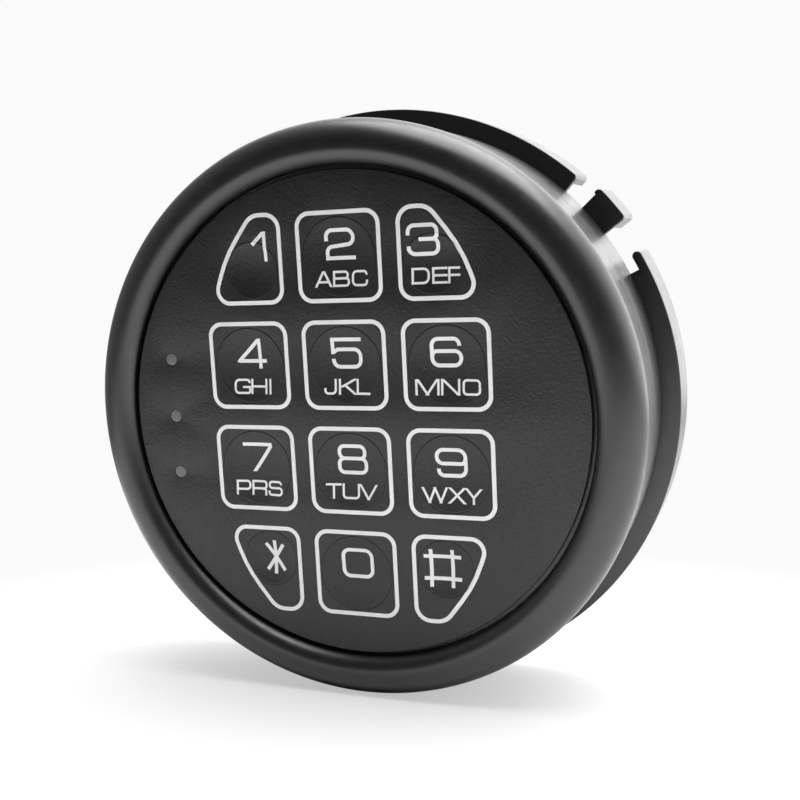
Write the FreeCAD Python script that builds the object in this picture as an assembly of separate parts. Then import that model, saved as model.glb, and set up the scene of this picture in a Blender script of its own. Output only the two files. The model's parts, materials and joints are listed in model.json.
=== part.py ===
import FreeCAD, Part
import math
import os

from FreeCAD import Vector

# Round keypad of an electronic safe lock, in millimetres.
# The origin is the centre of the flat back that lies against the door.
# +Z is up on the door, and the keys face -Y.
# Depths below are counted from the front of the black face towards the door.

os.makedirs("parts", exist_ok=True)

# Driving sizes of the drum, which is as wide and deep as its battery needs
RING_ROUND = 4.9          # outer rounding of the bezel
RING_INNER_ROUND = 3.0    # rounding from the crest down to the face
LIP_ANGLE = 18.2          # degrees of that rounding that the recess cuts off
CREST_RISE = 1.95         # crest of the bezel in front of the face
RING_STEP = 0.25          # drop from the bezel to the straight wall
STEP_LENGTH = 0.4         # length of that drop along the wall
STEP_SETBACK = 1.0        # from the end of the rounding to the drop
WALL = 2.0                # cast wall
RING_SKIN = 2.3           # metal left in the cored-out bezel
RIM_GAP = 0.1             # end of the wall to the flange of the base
FIN_COUNT = 12            # fins in the hollow of the bezel
FIN_WIDTH = 1.2
FIN_DEPTH = 2.6           # how far a fin runs along the wall

# Face and keys
FACE_GAP = 0.7            # open groove around the face
FACE_THICK = 1.2
FACE_EDGE = 0.25          # rounding of the front edge of the face
WEB_THICK = 1.6           # casting behind the face
COLUMN_PITCH = 18.55
ROW_PITCH = 18.7
KEY_RADIUS = 6.8
CORNER_KEY_RADIUS = 5.1
CORNER_SHIFT_X = 1.75     # a corner key lies this far inside its column
CORNER_SHIFT_Z = 1.85     # and this far inside its row
KEY_CLEARANCE = 0.08      # running clearance of a key in its window
KEY_TRAVEL = 0.5
KEY_LAND = 0.2            # flat rim of a key round its dish
DISH_DEPTH = 0.65
KEY_COLLAR = 0.75         # collar that keeps a key behind the casting
KEY_COLLAR_THICK = 0.8
KEY_LIFT = 0.3            # collar to the casting
KEY_SPARE = 0.06          # room left under a pressed key

# Status lights
LIGHT_X = -34.75
LIGHT_PITCH = 10.6
LIGHT_RADIUS = 1.15
LIGHT_FIT = 0.05
LIGHT_SINK = 0.05
LIGHT_COLLAR = 0.75
LIGHT_COLLAR_THICK = 0.5
LIGHT_TO_LED = 0.2
LED_SIZE = (3.2, 1.1, 1.6)

# Rubber mat, snap domes and board
PAD_INSET = 1.8           # pad radius under the key radius
PAD_RISE = 0.45
MAT_SKIN = 0.5
DOME_ROOM = 0.9
MAT_MARGIN = 4.0          # rubber beyond the outermost pockets
MAT_CLEARANCE = 0.3       # round the screw posts
MAT_CORNER = 5.0
DOME_RADIUS = 3.6
DOME_RISE = 0.55
POCKET_CLEARANCE = 0.5
BOARD_MARGIN = 4.95       # edge of the board to the wall
BOARD_THICK = 1.6
BOARD_CUT = 3.0           # flats cut off the board at the top and bottom
POST_INSET = 3.55         # screw posts inside the edge of the board
POST_TO_TRAY = 4.4        # and beside the battery tray
POST_RADIUS = 3.4
SCREW_RADIUS = 1.25
SCREW_FIT = 0.05
SCREW_BITE = 2.6
SCREW_HEAD_RADIUS = 2.4
SCREW_HEAD = 1.5
SCREW_SLOT_WIDTH = 0.7
SCREW_SLOT_DEPTH = 0.7
BOSS_FLOOR = 0.9          # metal left under a screw hole

# Parts on the back of the board
SOCKET_SIZE = (13.2, 11.6, 14.0)
SOCKET_Z = 12.5
SOCKET_WALL = 1.5
SOCKET_KEYWAY = (4.6, 1.8)
SOCKET_BACK = 3.2
SOCKET_CONTACTS = 4
CONTACT_PITCH = 1.27
CONTACT_WIDTH = 0.45
CONTACT_LENGTH = 7.0
CHIP_SIZE = (7.5, 2.35, 17.9)
CHIP_X = -19.0
CHIP_Z = 21.0
CHIP_LEAD = 1.4
CHIP_LEAD_WIDTH = 0.45
CHIP_LEAD_PITCH = 1.27
CHIP_LEAD_THICK = 0.25
CHIP_LEADS = 14
CHIP_LIFT = 0.15
BUZZER_RADIUS = 6.0
BUZZER_HEIGHT = 5.4
BUZZER_X = 19.5
BUZZER_Z = 22.0
BUZZER_HOLE = 1.0
BUZZER_EDGE = 0.5
BUZZER_FLOOR = 1.2
CAPACITOR_RADIUS = 3.15
CAPACITOR_HEIGHT = 7.7
CAPACITOR_INSET = 9.5     # inside the edge of the board
CAPACITOR_Z = 8.0
CAPACITOR_EDGE = 0.4

# Nine volt battery, its tray and its snap connector
BATTERY_LENGTH = 46.4
BATTERY_WIDTH = 26.5
BATTERY_THICK = 17.5
BATTERY_ROUND = 2.5
BATTERY_TOP = -10.0
BATTERY_ROOM = 4.04       # battery to the plate of the base, where the lock cable passes
TERMINAL_PITCH = 12.7
TERMINAL_HEIGHT = 2.1
STUD_RADIUS = 2.85
CROWN_RADIUS = 4.2
CROWN_WALL = 1.2
TERMINAL_FIT = 0.1
TRAY_WALL = 1.2
TRAY_FLOOR = 0.8
TRAY_HEIGHT = 11.0
THUMB_WIDTH = 16.0        # dip in the wall to lift the battery out
TRAY_CLEARANCE = 0.25
TRAY_LIFT = 0.4           # tray floor above the board
TRAY_CORNER = 0.8         # inside corner
TRAY_ROOM = 0.5           # corner of the tray to the spigot of the base
LUG_RADIUS = 3.6
LUG_THICK = 2.0
CONNECTOR_THICK = 1.3
CONNECTOR_INSET = 0.5     # the connector is this much narrower at each end
CONNECTOR_HEIGHT = 10.5
STRIP_WIDTH = 3.0
STRIP_THICK = 0.4
STRIP_ROOM = 0.5

# Base that is screwed to the door
FLANGE_PROUD = 2.98       # the flange stands out beyond the bezel
FLANGE_DRAFT = 0.1        # the flange is this much wider at the door
FLANGE_DEPTH = 9.6        # from the front of the flange to the door
FLANGE_SKIN = 1.6         # front wall of the cored-out flange
FLANGE_RIM = 1.65         # its outer wall, which runs on as a finger in a notch
FLANGE_EDGE = 0.3
PLATE_THICK = 1.5
SPIGOT_LENGTH = 5.0
SPIGOT_WALL = 2.0
SPIGOT_CLEARANCE = 0.1
SPIGOT_LEAD = 0.5         # lead-in at the front of the spigot
NOTCH_DEPTH = 3.58        # notches beside the latch tongue
TONGUE_PROUD = 1.15       # the tongue reaches beyond the flange
TONGUE_WALL = 1.3         # its outer wall, which ends in a small ear
TONGUE_FROM = 35.5        # degrees from +X towards +Z
TONGUE_TO = 42.5
EAR_TO = 42.95
NOTCH_FROM = 26.1
NOTCH_TO = 47.2
FINGER_TO = 29.4
CORNER_ROUND = 0.8
EAR_ROUND = 0.35
CABLE_RADIUS = 5.2
CABLE_BOSS_RADIUS = 7.4
CABLE_BOSS_LENGTH = 6.5
FIXING_PITCH = 41.3
FIXING_RADIUS = 2.3
FIXING_LENGTH = 8.0
FIXING_PAD_RADIUS = 6.2
FIXING_PAD_THICK = 1.0
BASE_RIB_ANGLES = (45.0, 90.0, 135.0)
BASE_RIB_WIDTH = 1.4
BASE_RIB_HEIGHT = 2.2
CLIP_ANGLES = (90.0, 210.0, 330.0)
CLIP_LENGTH = 16.0
CLIP_WIDTH = 3.6
CLIP_THICK = 0.4
CLIP_POCKET = 1.3
CLIP_CREST_GAP = 0.05
CLIP_ROOM = 0.2
RIB_ANGLES = (0.0, 60.0, 120.0, 180.0)
RIB_HEIGHT = 2.2
RIB_WIDTH = 2.4
RIB_TO_SPIGOT = 0.4

# Helpers of the modelling
OVER = 1.0                # a cutter runs this far past a face
BITE = 0.1                # a joined piece runs this far into its neighbour

# Sizes that follow from the driving ones: the battery in its tray
CONTACT_STACK = TERMINAL_HEIGHT + TERMINAL_FIT + CONNECTOR_THICK + STRIP_THICK
TRAY_HALF = (BATTERY_LENGTH + CONTACT_STACK) / 2 + TRAY_CLEARANCE + TRAY_WALL
TRAY_BOTTOM = BATTERY_TOP - BATTERY_WIDTH - TRAY_CLEARANCE - TRAY_WALL
BATTERY_LEFT = -(BATTERY_LENGTH + CONTACT_STACK) / 2
BATTERY_RIGHT = BATTERY_LEFT + BATTERY_LENGTH
BATTERY_MID_Z = BATTERY_TOP - BATTERY_WIDTH / 2

# Radii, from the tray outwards
SPIGOT_BORE = math.hypot(TRAY_HALF, TRAY_BOTTOM) + TRAY_ROOM
SPIGOT_RADIUS = SPIGOT_BORE + SPIGOT_WALL
BORE_RADIUS = SPIGOT_RADIUS + SPIGOT_CLEARANCE
WALL_RADIUS = BORE_RADIUS + WALL
RING_RADIUS = WALL_RADIUS + RING_STEP
RING_CENTRE = RING_RADIUS - RING_ROUND
LIP_RADIUS = RING_CENTRE - RING_INNER_ROUND * math.cos(math.radians(LIP_ANGLE))
FACE_RADIUS = LIP_RADIUS - FACE_GAP
FLANGE_RADIUS = RING_RADIUS + FLANGE_PROUD
NOTCH_RADIUS = FLANGE_RADIUS - NOTCH_DEPTH
TONGUE_RADIUS = FLANGE_RADIUS + TONGUE_PROUD
RIM_INNER = FLANGE_RADIUS - FLANGE_RIM
BOARD_RADIUS = BORE_RADIUS - BOARD_MARGIN
POST_X = TRAY_HALF + POST_TO_TRAY
POST_Z = math.sqrt((BOARD_RADIUS - POST_INSET) ** 2 - POST_X ** 2)
CAPACITOR_X = BOARD_RADIUS - CAPACITOR_INSET

# Places of the keys
CORNER_KEY_X = COLUMN_PITCH - CORNER_SHIFT_X
CORNER_KEY_Z = 1.5 * ROW_PITCH - CORNER_SHIFT_Z
POCKET_RADIUS = DOME_RADIUS + POCKET_CLEARANCE
MAT_HALF_WIDTH = COLUMN_PITCH + POCKET_RADIUS + MAT_MARGIN
MAT_HALF_HEIGHT = 1.5 * ROW_PITCH + POCKET_RADIUS + MAT_MARGIN

# Depths, from the face to the door
RING_CENTRE_DEPTH = RING_ROUND - CREST_RISE
WEB_BACK = FACE_THICK + WEB_THICK
COLLAR_FRONT = WEB_BACK + KEY_LIFT
KEY_BACK = COLLAR_FRONT + KEY_COLLAR_THICK
PAD_TOP = KEY_BACK + KEY_TRAVEL + KEY_SPARE
MAT_FRONT = PAD_TOP + PAD_RISE
BOARD_FRONT = MAT_FRONT + MAT_SKIN + DOME_ROOM
BOARD_BACK = BOARD_FRONT + BOARD_THICK
TRAY_FRONT = BOARD_BACK + TRAY_LIFT
BATTERY_FRONT = TRAY_FRONT + TRAY_FLOOR
PLATE_FRONT = BATTERY_FRONT + BATTERY_THICK + BATTERY_ROOM
FACE_TO_DOOR = PLATE_FRONT + PLATE_THICK
FLANGE_FRONT = FACE_TO_DOOR - FLANGE_DEPTH
CORE_FRONT = FLANGE_FRONT + FLANGE_SKIN
SPIGOT_FRONT = FLANGE_FRONT - SPIGOT_LENGTH


def key_layout():
    """Name, x, z and radius of the twelve keys, row by row from the top."""
    names = ("key_1", "key_2", "key_3", "key_4", "key_5", "key_6",
             "key_7", "key_8", "key_9", "key_star", "key_0", "key_hash")
    keys = []
    for number, name in enumerate(names):
        column = number % 3 - 1
        row = 1.5 - number // 3
        if column != 0 and abs(row) > 1:
            x = column * CORNER_KEY_X
            z = math.copysign(CORNER_KEY_Z, row)
            keys.append((name, x, z, CORNER_KEY_RADIUS))
        else:
            keys.append((name, column * COLUMN_PITCH, row * ROW_PITCH, KEY_RADIUS))
    return keys


def light_places():
    """The three status lights, from the top down."""
    return [(LIGHT_X, step * LIGHT_PITCH) for step in (1, 0, -1)]


def post_places(side):
    """The two screw posts above (side = 1) or below (side = -1) the middle."""
    return [(-POST_X, side * POST_Z), (POST_X, side * POST_Z)]


def depth_of(depth):
    """Y of a depth."""
    return depth - FACE_TO_DOOR


def spot(x, depth, z):
    """A point given by its depth behind the front of the face."""
    return Vector(x, depth_of(depth), z)


def rod(radius, front, back, x=0.0, z=0.0):
    """Round bar along Y between two depths."""
    return Part.makeCylinder(radius, back - front, spot(x, front, z), Vector(0, 1, 0))


def block(x_size, depth_size, z_size, x, front, z):
    """Box centred on x and z that starts at a depth."""
    corner = spot(x - x_size / 2, front, z - z_size / 2)
    return Part.makeBox(x_size, depth_size, z_size, corner)


def turned(edges):
    """Solid of revolution about the Y axis from a closed run of edges."""
    face = Part.Face(Part.Wire(edges))
    return face.revolve(Vector(0, 0, 0), Vector(0, 1, 0), 360)


def profile(points):
    """Edges through (radius, depth) points; a point of three values bends the
    run that ends there into an arc through the middle point given before it."""
    edges = []
    start = points[0]
    through = None
    for point in points[1:] + points[:1]:
        if len(point) == 3:
            through = spot(point[0], point[1], 0)
            continue
        first = spot(start[0], start[1], 0)
        last = spot(point[0], point[1], 0)
        if through is None:
            edges.append(Part.LineSegment(first, last).toShape())
        else:
            edges.append(Part.Arc(first, through, last).toShape())
        start = point
        through = None
    return edges


def on_circle(centre, radius, degrees):
    """Point of a rounding in the radius and depth plane, 0 degrees outwards
    and 90 degrees towards the front."""
    angle = math.radians(degrees)
    return (centre[0] + radius * math.cos(angle), centre[1] - radius * math.sin(angle))


def rounded_plate(x_low, x_high, z_low, z_high, corner, front, thick):
    """Rectangular plate with round corners."""
    plate = Part.makeBox(x_high - x_low, thick, z_high - z_low, spot(x_low, front, z_low))
    upright = [e for e in plate.Edges if abs(e.tangentAt(e.FirstParameter).y) > 0.9]
    return plate.makeFillet(corner, upright)


def sector(inner, outer, start, stop, front, back):
    """Piece of a ring between two angles in degrees and two depths."""
    corners = []
    for radius, degrees in ((inner, start), (outer, start), (outer, stop), (inner, stop)):
        angle = math.radians(degrees)
        corners.append(spot(radius * math.cos(angle), front, radius * math.sin(angle)))
    middle = math.radians((start + stop) / 2)
    outer_mid = spot(outer * math.cos(middle), front, outer * math.sin(middle))
    inner_mid = spot(inner * math.cos(middle), front, inner * math.sin(middle))
    edges = [Part.LineSegment(corners[0], corners[1]).toShape(),
             Part.Arc(corners[1], outer_mid, corners[2]).toShape(),
             Part.LineSegment(corners[2], corners[3]).toShape(),
             Part.Arc(corners[3], inner_mid, corners[0]).toShape()]
    return Part.Face(Part.Wire(edges)).extrude(Vector(0, back - front, 0))


def turn_to(shape, degrees):
    """Turn a piece that was made on +X to an angle towards +Z."""
    turned_shape = shape.copy()
    turned_shape.rotate(Vector(0, 0, 0), Vector(0, 1, 0), -degrees)
    return turned_shape


def upright_edges(shape, x, z, reach):
    """Edges along Y whose place is near a point."""
    found = []
    for edge in shape.Edges:
        along = edge.tangentAt(edge.FirstParameter)
        middle = edge.CenterOfMass
        if abs(along.y) > 0.9 and math.hypot(middle.x - x, middle.z - z) < reach:
            found.append(edge)
    return found


def save(name, shape):
    """Write one piece and say how large it is."""
    shape = shape.removeSplitter()
    shape.exportStep("parts/%s.step" % name)
    solids = len(shape.Solids)
    print("%-22s solids %2d volume %9.1f valid %s" % (name, solids, shape.Volume, shape.isValid()))
    return shape.Volume


# Drum
def ring_profile():
    """Section of the drum: straight wall, rounded bezel, recess and web."""
    outer_centre = (RING_CENTRE, RING_CENTRE_DEPTH)
    inner_centre = (RING_CENTRE, RING_INNER_ROUND - CREST_RISE)
    lip_angle = 180 - LIP_ANGLE
    skin_round = RING_ROUND - RING_SKIN
    step_start = RING_CENTRE_DEPTH + STEP_SETBACK
    return profile([
        (WALL_RADIUS, FLANGE_FRONT - RIM_GAP),
        (WALL_RADIUS, step_start + STEP_LENGTH),
        (RING_RADIUS, step_start),
        (RING_RADIUS, RING_CENTRE_DEPTH),
        on_circle(outer_centre, RING_ROUND, 45) + (0,),
        (RING_CENTRE, -CREST_RISE),
        on_circle(inner_centre, RING_INNER_ROUND, (90 + lip_angle) / 2) + (0,),
        on_circle(inner_centre, RING_INNER_ROUND, lip_angle),
        (LIP_RADIUS, FACE_THICK),
        (0, FACE_THICK),
        (0, WEB_BACK),
        (LIP_RADIUS + WALL / 2, WEB_BACK),
        (RING_CENTRE - WALL / 2, RING_CENTRE_DEPTH - skin_round),
        (RING_CENTRE, RING_CENTRE_DEPTH - skin_round),
        on_circle(outer_centre, skin_round, 45) + (0,),
        (BORE_RADIUS, RING_CENTRE_DEPTH),
        (BORE_RADIUS, FLANGE_FRONT - RIM_GAP)])


def wall_rib(reach, width, front, back, degrees):
    """Straight rib that stands on the inside of the wall between two depths."""
    rib = Part.makeBox(reach + BITE, back - front, width, spot(BORE_RADIUS - reach, front, -width / 2))
    return turn_to(rib, degrees)


def housing():
    """Cast drum: bezel, wall, web with windows, screw posts, ribs and fins."""
    body = turned(ring_profile())
    adds = []
    for x, z in post_places(1) + post_places(-1):
        adds.append(rod(POST_RADIUS, WEB_BACK - BITE, BOARD_FRONT, x, z))
    for degrees in RIB_ANGLES:
        adds.append(wall_rib(RIB_HEIGHT, RIB_WIDTH, RING_CENTRE_DEPTH, SPIGOT_FRONT - RIB_TO_SPIGOT, degrees))
    fin_front = RING_CENTRE_DEPTH - RING_ROUND + RING_SKIN
    for number in range(FIN_COUNT):
        degrees = (number + 0.5) * 360 / FIN_COUNT
        adds.append(wall_rib(BORE_RADIUS - LIP_RADIUS, FIN_WIDTH, fin_front,
                             RING_CENTRE_DEPTH + FIN_DEPTH, degrees))
    body = body.fuse(adds)
    holes = []
    for name, x, z, radius in key_layout():
        holes.append(rod(radius + KEY_CLEARANCE, 0, WEB_BACK + OVER, x, z))
    for x, z in light_places():
        holes.append(rod(LIGHT_RADIUS + LIGHT_FIT, 0, WEB_BACK + OVER, x, z))
    for x, z in post_places(1) + post_places(-1):
        holes.append(rod(SCREW_RADIUS + SCREW_FIT, FACE_THICK + BOSS_FLOOR, BOARD_FRONT + OVER, x, z))
    return body.cut(holes)


def face_overlay():
    """Textured face with a window for each key and each light."""
    plate = rod(FACE_RADIUS, 0, FACE_THICK)
    front = [e for e in plate.Edges if e.BoundBox.YMax < depth_of(0) + 0.01 and len(e.Vertexes) == 1]
    plate = plate.makeFillet(FACE_EDGE, front)
    holes = []
    for name, x, z, radius in key_layout():
        holes.append(rod(radius + KEY_CLEARANCE, -OVER, FACE_THICK + OVER, x, z))
    for x, z in light_places():
        holes.append(rod(LIGHT_RADIUS + LIGHT_FIT, -OVER, FACE_THICK + OVER, x, z))
    return plate.cut(holes)


def dished_key(x, z, radius):
    """Round key with a shallow dish, turned about its own axis."""
    dish_edge = radius - KEY_LAND
    section = [Vector(0, depth_of(DISH_DEPTH), 0), Vector(dish_edge, depth_of(0), 0),
               Vector(radius, depth_of(0), 0), Vector(radius, depth_of(COLLAR_FRONT), 0),
               Vector(radius + KEY_COLLAR, depth_of(COLLAR_FRONT), 0),
               Vector(radius + KEY_COLLAR, depth_of(KEY_BACK), 0), Vector(0, depth_of(KEY_BACK), 0)]
    bowl_radius = (dish_edge ** 2 + DISH_DEPTH ** 2) / (2 * DISH_DEPTH)
    half = math.asin(dish_edge / bowl_radius) / 2
    middle = Vector(bowl_radius * math.sin(half),
                    depth_of(DISH_DEPTH - bowl_radius + bowl_radius * math.cos(half)), 0)
    edges = [Part.Arc(section[0], middle, section[1]).toShape()]
    for first, last in zip(section[1:], section[2:] + section[:1]):
        edges.append(Part.LineSegment(first, last).toShape())
    key = turned(edges)
    key.translate(Vector(x, 0, z))
    return key


def light_window(x, z):
    """Clear light guide from the face to its lamp."""
    led_top = BOARD_FRONT - LED_SIZE[1]
    stem = rod(LIGHT_RADIUS, LIGHT_SINK, led_top - LIGHT_TO_LED, x, z)
    collar = rod(LIGHT_RADIUS + LIGHT_COLLAR, WEB_BACK, WEB_BACK + LIGHT_COLLAR_THICK, x, z)
    return stem.fuse(collar)


# Mat, domes and board
def key_mat():
    """Rubber sheet with a pad under each key and a pocket over each dome."""
    sheet = rounded_plate(-MAT_HALF_WIDTH, MAT_HALF_WIDTH, -MAT_HALF_HEIGHT, MAT_HALF_HEIGHT,
                          MAT_CORNER, MAT_FRONT, BOARD_FRONT - MAT_FRONT)
    pads = []
    pockets = []
    for name, x, z, radius in key_layout():
        pads.append(rod(radius - PAD_INSET, PAD_TOP, MAT_FRONT + BITE, x, z))
        pockets.append(rod(POCKET_RADIUS, BOARD_FRONT - DOME_ROOM, BOARD_FRONT + OVER, x, z))
    for x, z in post_places(1) + post_places(-1):
        pockets.append(rod(POST_RADIUS + MAT_CLEARANCE, PAD_TOP, BOARD_FRONT + OVER, x, z))
    return sheet.fuse(pads).cut(pockets)


def snap_domes():
    """Twelve domed contact discs on the board."""
    ball = (DOME_RADIUS ** 2 + DOME_RISE ** 2) / (2 * DOME_RISE)
    domes = []
    for name, x, z, radius in key_layout():
        sphere = Part.makeSphere(ball, spot(x, BOARD_FRONT - DOME_RISE + ball, z))
        slab = rod(DOME_RADIUS + OVER, BOARD_FRONT - DOME_RISE - OVER, BOARD_FRONT, x, z)
        domes.append(sphere.common(slab))
    return Part.makeCompound(domes)


def circuit_board():
    """Round board with flats and four screw holes."""
    strip = block(2 * BOARD_RADIUS, BOARD_THICK, 2 * (BOARD_RADIUS - BOARD_CUT), 0, BOARD_FRONT, 0)
    board = rod(BOARD_RADIUS, BOARD_FRONT, BOARD_BACK).common(strip)
    holes = []
    for x, z in post_places(1) + post_places(-1):
        holes.append(rod(SCREW_RADIUS + SCREW_FIT, BOARD_FRONT - OVER, BOARD_BACK + OVER, x, z))
    return board.cut(holes)


def status_leds():
    """Three small lamps on the front of the board."""
    width, height, length = LED_SIZE
    return Part.makeCompound([block(width, height, length, x, BOARD_FRONT - height, z)
                              for x, z in light_places()])


def slotted_screw(x, z, seat):
    """Screw with a slotted round head, its head seated at a depth."""
    head = rod(SCREW_HEAD_RADIUS, seat, seat + SCREW_HEAD, x, z)
    top = [e for e in head.Edges if e.BoundBox.YMin > depth_of(seat + SCREW_HEAD) - 0.01]
    head = head.makeFillet(SCREW_HEAD / 3, top)
    shank = rod(SCREW_RADIUS, BOARD_FRONT - SCREW_BITE, seat + BITE, x, z)
    slot = block(2 * SCREW_HEAD_RADIUS + OVER, SCREW_SLOT_DEPTH + OVER, SCREW_SLOT_WIDTH,
                 x, seat + SCREW_HEAD - SCREW_SLOT_DEPTH, z)
    return head.fuse(shank).cut(slot)


def cable_socket():
    """Modular socket that takes the plug of the lock cable from below."""
    width, depth, length = SOCKET_SIZE
    z_mid = SOCKET_Z + length / 2
    shell = block(width, depth, length, 0, BOARD_BACK, z_mid)
    room_width = width - 2 * SOCKET_WALL
    room_depth = depth - 2 * SOCKET_WALL - SOCKET_KEYWAY[1]
    room_length = length - SOCKET_BACK
    front = BOARD_BACK + SOCKET_WALL
    mid = SOCKET_Z + (room_length - OVER) / 2
    room = block(room_width, room_depth, room_length + OVER, 0, front, mid)
    key_width, key_depth = SOCKET_KEYWAY
    keyway = block(key_width, key_depth + BITE, room_length + OVER, 0, front + room_depth - BITE, mid)
    return shell.cut([room, keyway])


def socket_contacts():
    """Flat gold contacts along the floor of the socket."""
    width, depth, length = SOCKET_SIZE
    first = -(SOCKET_CONTACTS - 1) / 2
    front = BOARD_BACK + SOCKET_WALL
    z_mid = SOCKET_Z + length - SOCKET_BACK - CONTACT_LENGTH / 2
    contacts = []
    for number in range(SOCKET_CONTACTS):
        x = (first + number) * CONTACT_PITCH
        contacts.append(block(CONTACT_WIDTH, CONTACT_WIDTH, CONTACT_LENGTH, x, front, z_mid))
    return Part.makeCompound(contacts)


def controller_chip():
    """Surface mounted chip with two rows of leads."""
    width, height, length = CHIP_SIZE
    top = block(width, height, length, CHIP_X, BOARD_BACK + CHIP_LIFT, CHIP_Z)
    span = width + 2 * CHIP_LEAD
    leads = []
    for number in range(CHIP_LEADS):
        z = CHIP_Z + (number - (CHIP_LEADS - 1) / 2) * CHIP_LEAD_PITCH
        leads.append(block(span, CHIP_LIFT + CHIP_LEAD_THICK, CHIP_LEAD_WIDTH, CHIP_X, BOARD_BACK, z))
    return top.fuse(leads)


def buzzer():
    """Round sounder with a hole in its lid."""
    can = rod(BUZZER_RADIUS, BOARD_BACK, BOARD_BACK + BUZZER_HEIGHT, BUZZER_X, BUZZER_Z)
    top = [e for e in can.Edges if e.BoundBox.YMin > depth_of(BOARD_BACK + BUZZER_HEIGHT) - 0.01]
    can = can.makeFillet(BUZZER_EDGE, top)
    hole = rod(BUZZER_HOLE, BOARD_BACK + BUZZER_FLOOR, BOARD_BACK + BUZZER_HEIGHT + OVER, BUZZER_X, BUZZER_Z)
    return can.cut(hole)


def capacitor():
    """Standing can capacitor on the board."""
    can = rod(CAPACITOR_RADIUS, BOARD_BACK, BOARD_BACK + CAPACITOR_HEIGHT, CAPACITOR_X, CAPACITOR_Z)
    top = [e for e in can.Edges if e.BoundBox.YMin > depth_of(BOARD_BACK + CAPACITOR_HEIGHT) - 0.01]
    return can.makeFillet(CAPACITOR_EDGE, top)


# Battery
def terminal_places():
    """Z of the stud and of the crown at the end of the battery."""
    return BATTERY_MID_Z + TERMINAL_PITCH / 2, BATTERY_MID_Z - TERMINAL_PITCH / 2


def stub(radius, x_from, x_to, z):
    """Round bar along X at the middle of the battery's thickness."""
    depth = BATTERY_FRONT + BATTERY_THICK / 2
    return Part.makeCylinder(radius, x_to - x_from, spot(x_from, depth, z), Vector(1, 0, 0))


def crown(x_from, x_to, z):
    """Open snap ring along X."""
    ring = stub(CROWN_RADIUS, x_from, x_to, z)
    return ring.cut(stub(CROWN_RADIUS - CROWN_WALL, x_from - OVER, x_to + OVER, z))


def battery():
    """Nine volt battery with its stud and its crown."""
    body = Part.makeBox(BATTERY_LENGTH, BATTERY_THICK, BATTERY_WIDTH,
                        spot(BATTERY_LEFT, BATTERY_FRONT, BATTERY_TOP - BATTERY_WIDTH))
    long_edges = [e for e in body.Edges if abs(e.tangentAt(e.FirstParameter).x) > 0.9]
    body = body.makeFillet(BATTERY_ROUND, long_edges)
    stud_z, crown_z = terminal_places()
    stud = stub(STUD_RADIUS, BATTERY_RIGHT - BITE, BATTERY_RIGHT + TERMINAL_HEIGHT, stud_z)
    ring = crown(BATTERY_RIGHT - BITE, BATTERY_RIGHT + TERMINAL_HEIGHT, crown_z)
    return body.fuse([stud, ring])


def battery_connector():
    """Snap connector: a plate with a ring over the stud and a stud in the crown."""
    start = BATTERY_RIGHT + TERMINAL_HEIGHT + TERMINAL_FIT
    depth = BATTERY_FRONT + (BATTERY_THICK - CONNECTOR_HEIGHT) / 2
    width = BATTERY_WIDTH - 2 * CONNECTOR_INSET
    plate = Part.makeBox(CONNECTOR_THICK, CONNECTOR_HEIGHT, width,
                         spot(start, depth, BATTERY_MID_Z - width / 2))
    stud_z, crown_z = terminal_places()
    reach = BATTERY_RIGHT + TERMINAL_FIT
    ring = stub(CROWN_RADIUS, reach, start + BITE, stud_z)
    ring = ring.cut(stub(STUD_RADIUS + TERMINAL_FIT, reach - OVER, start, stud_z))
    stud = stub(CROWN_RADIUS - CROWN_WALL - TERMINAL_FIT, reach, start + BITE, crown_z)
    return plate.fuse([ring, stud])


def connector_strips():
    """Two metal strips from the connector down to the board."""
    x = BATTERY_RIGHT + TERMINAL_HEIGHT + TERMINAL_FIT + CONNECTOR_THICK
    back = BATTERY_FRONT + (BATTERY_THICK + CONNECTOR_HEIGHT) / 2
    strips = []
    for z in terminal_places():
        strips.append(Part.makeBox(STRIP_THICK, back - BOARD_BACK, STRIP_WIDTH,
                                   spot(x, BOARD_BACK, z - STRIP_WIDTH / 2)))
    return Part.makeCompound(strips)


def battery_tray():
    """Moulded tray with a wall round the battery and two screw lugs."""
    z_high = BATTERY_TOP + TRAY_CLEARANCE + TRAY_WALL
    outer = rounded_plate(-TRAY_HALF, TRAY_HALF, TRAY_BOTTOM, z_high, TRAY_CORNER + TRAY_WALL,
                          TRAY_FRONT, TRAY_FLOOR + TRAY_HEIGHT)
    inner = rounded_plate(TRAY_WALL - TRAY_HALF, TRAY_HALF - TRAY_WALL, TRAY_BOTTOM + TRAY_WALL,
                          z_high - TRAY_WALL, TRAY_CORNER, BATTERY_FRONT, TRAY_HEIGHT + OVER)
    lugs = []
    for x, z in post_places(-1):
        lugs.append(rod(LUG_RADIUS, BOARD_BACK, BOARD_BACK + LUG_THICK, x, z))
        reach = abs(x) - TRAY_HALF + TRAY_WALL
        arm_x = math.copysign(abs(x) - reach / 2, x)
        lugs.append(block(reach, TRAY_FLOOR, 2 * LUG_RADIUS, arm_x, TRAY_FRONT, z))
    tray = outer.fuse(lugs).cut(inner)
    cuts = []
    strip_x = BATTERY_RIGHT + CONTACT_STACK - STRIP_THICK / 2
    for z in terminal_places():
        cuts.append(block(STRIP_THICK + 2 * STRIP_ROOM, TRAY_FLOOR + 2 * OVER,
                          STRIP_WIDTH + 2 * STRIP_ROOM, strip_x, TRAY_FRONT - OVER, z))
    for x, z in post_places(-1):
        cuts.append(rod(SCREW_RADIUS + SCREW_FIT, BOARD_BACK - OVER, BOARD_BACK + LUG_THICK + OVER, x, z))
    thumb = block(THUMB_WIDTH, TRAY_HEIGHT, 3 * TRAY_WALL, 0, BATTERY_FRONT + TRAY_HEIGHT / 2, z_high)
    return tray.cut(cuts + [thumb])


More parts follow.
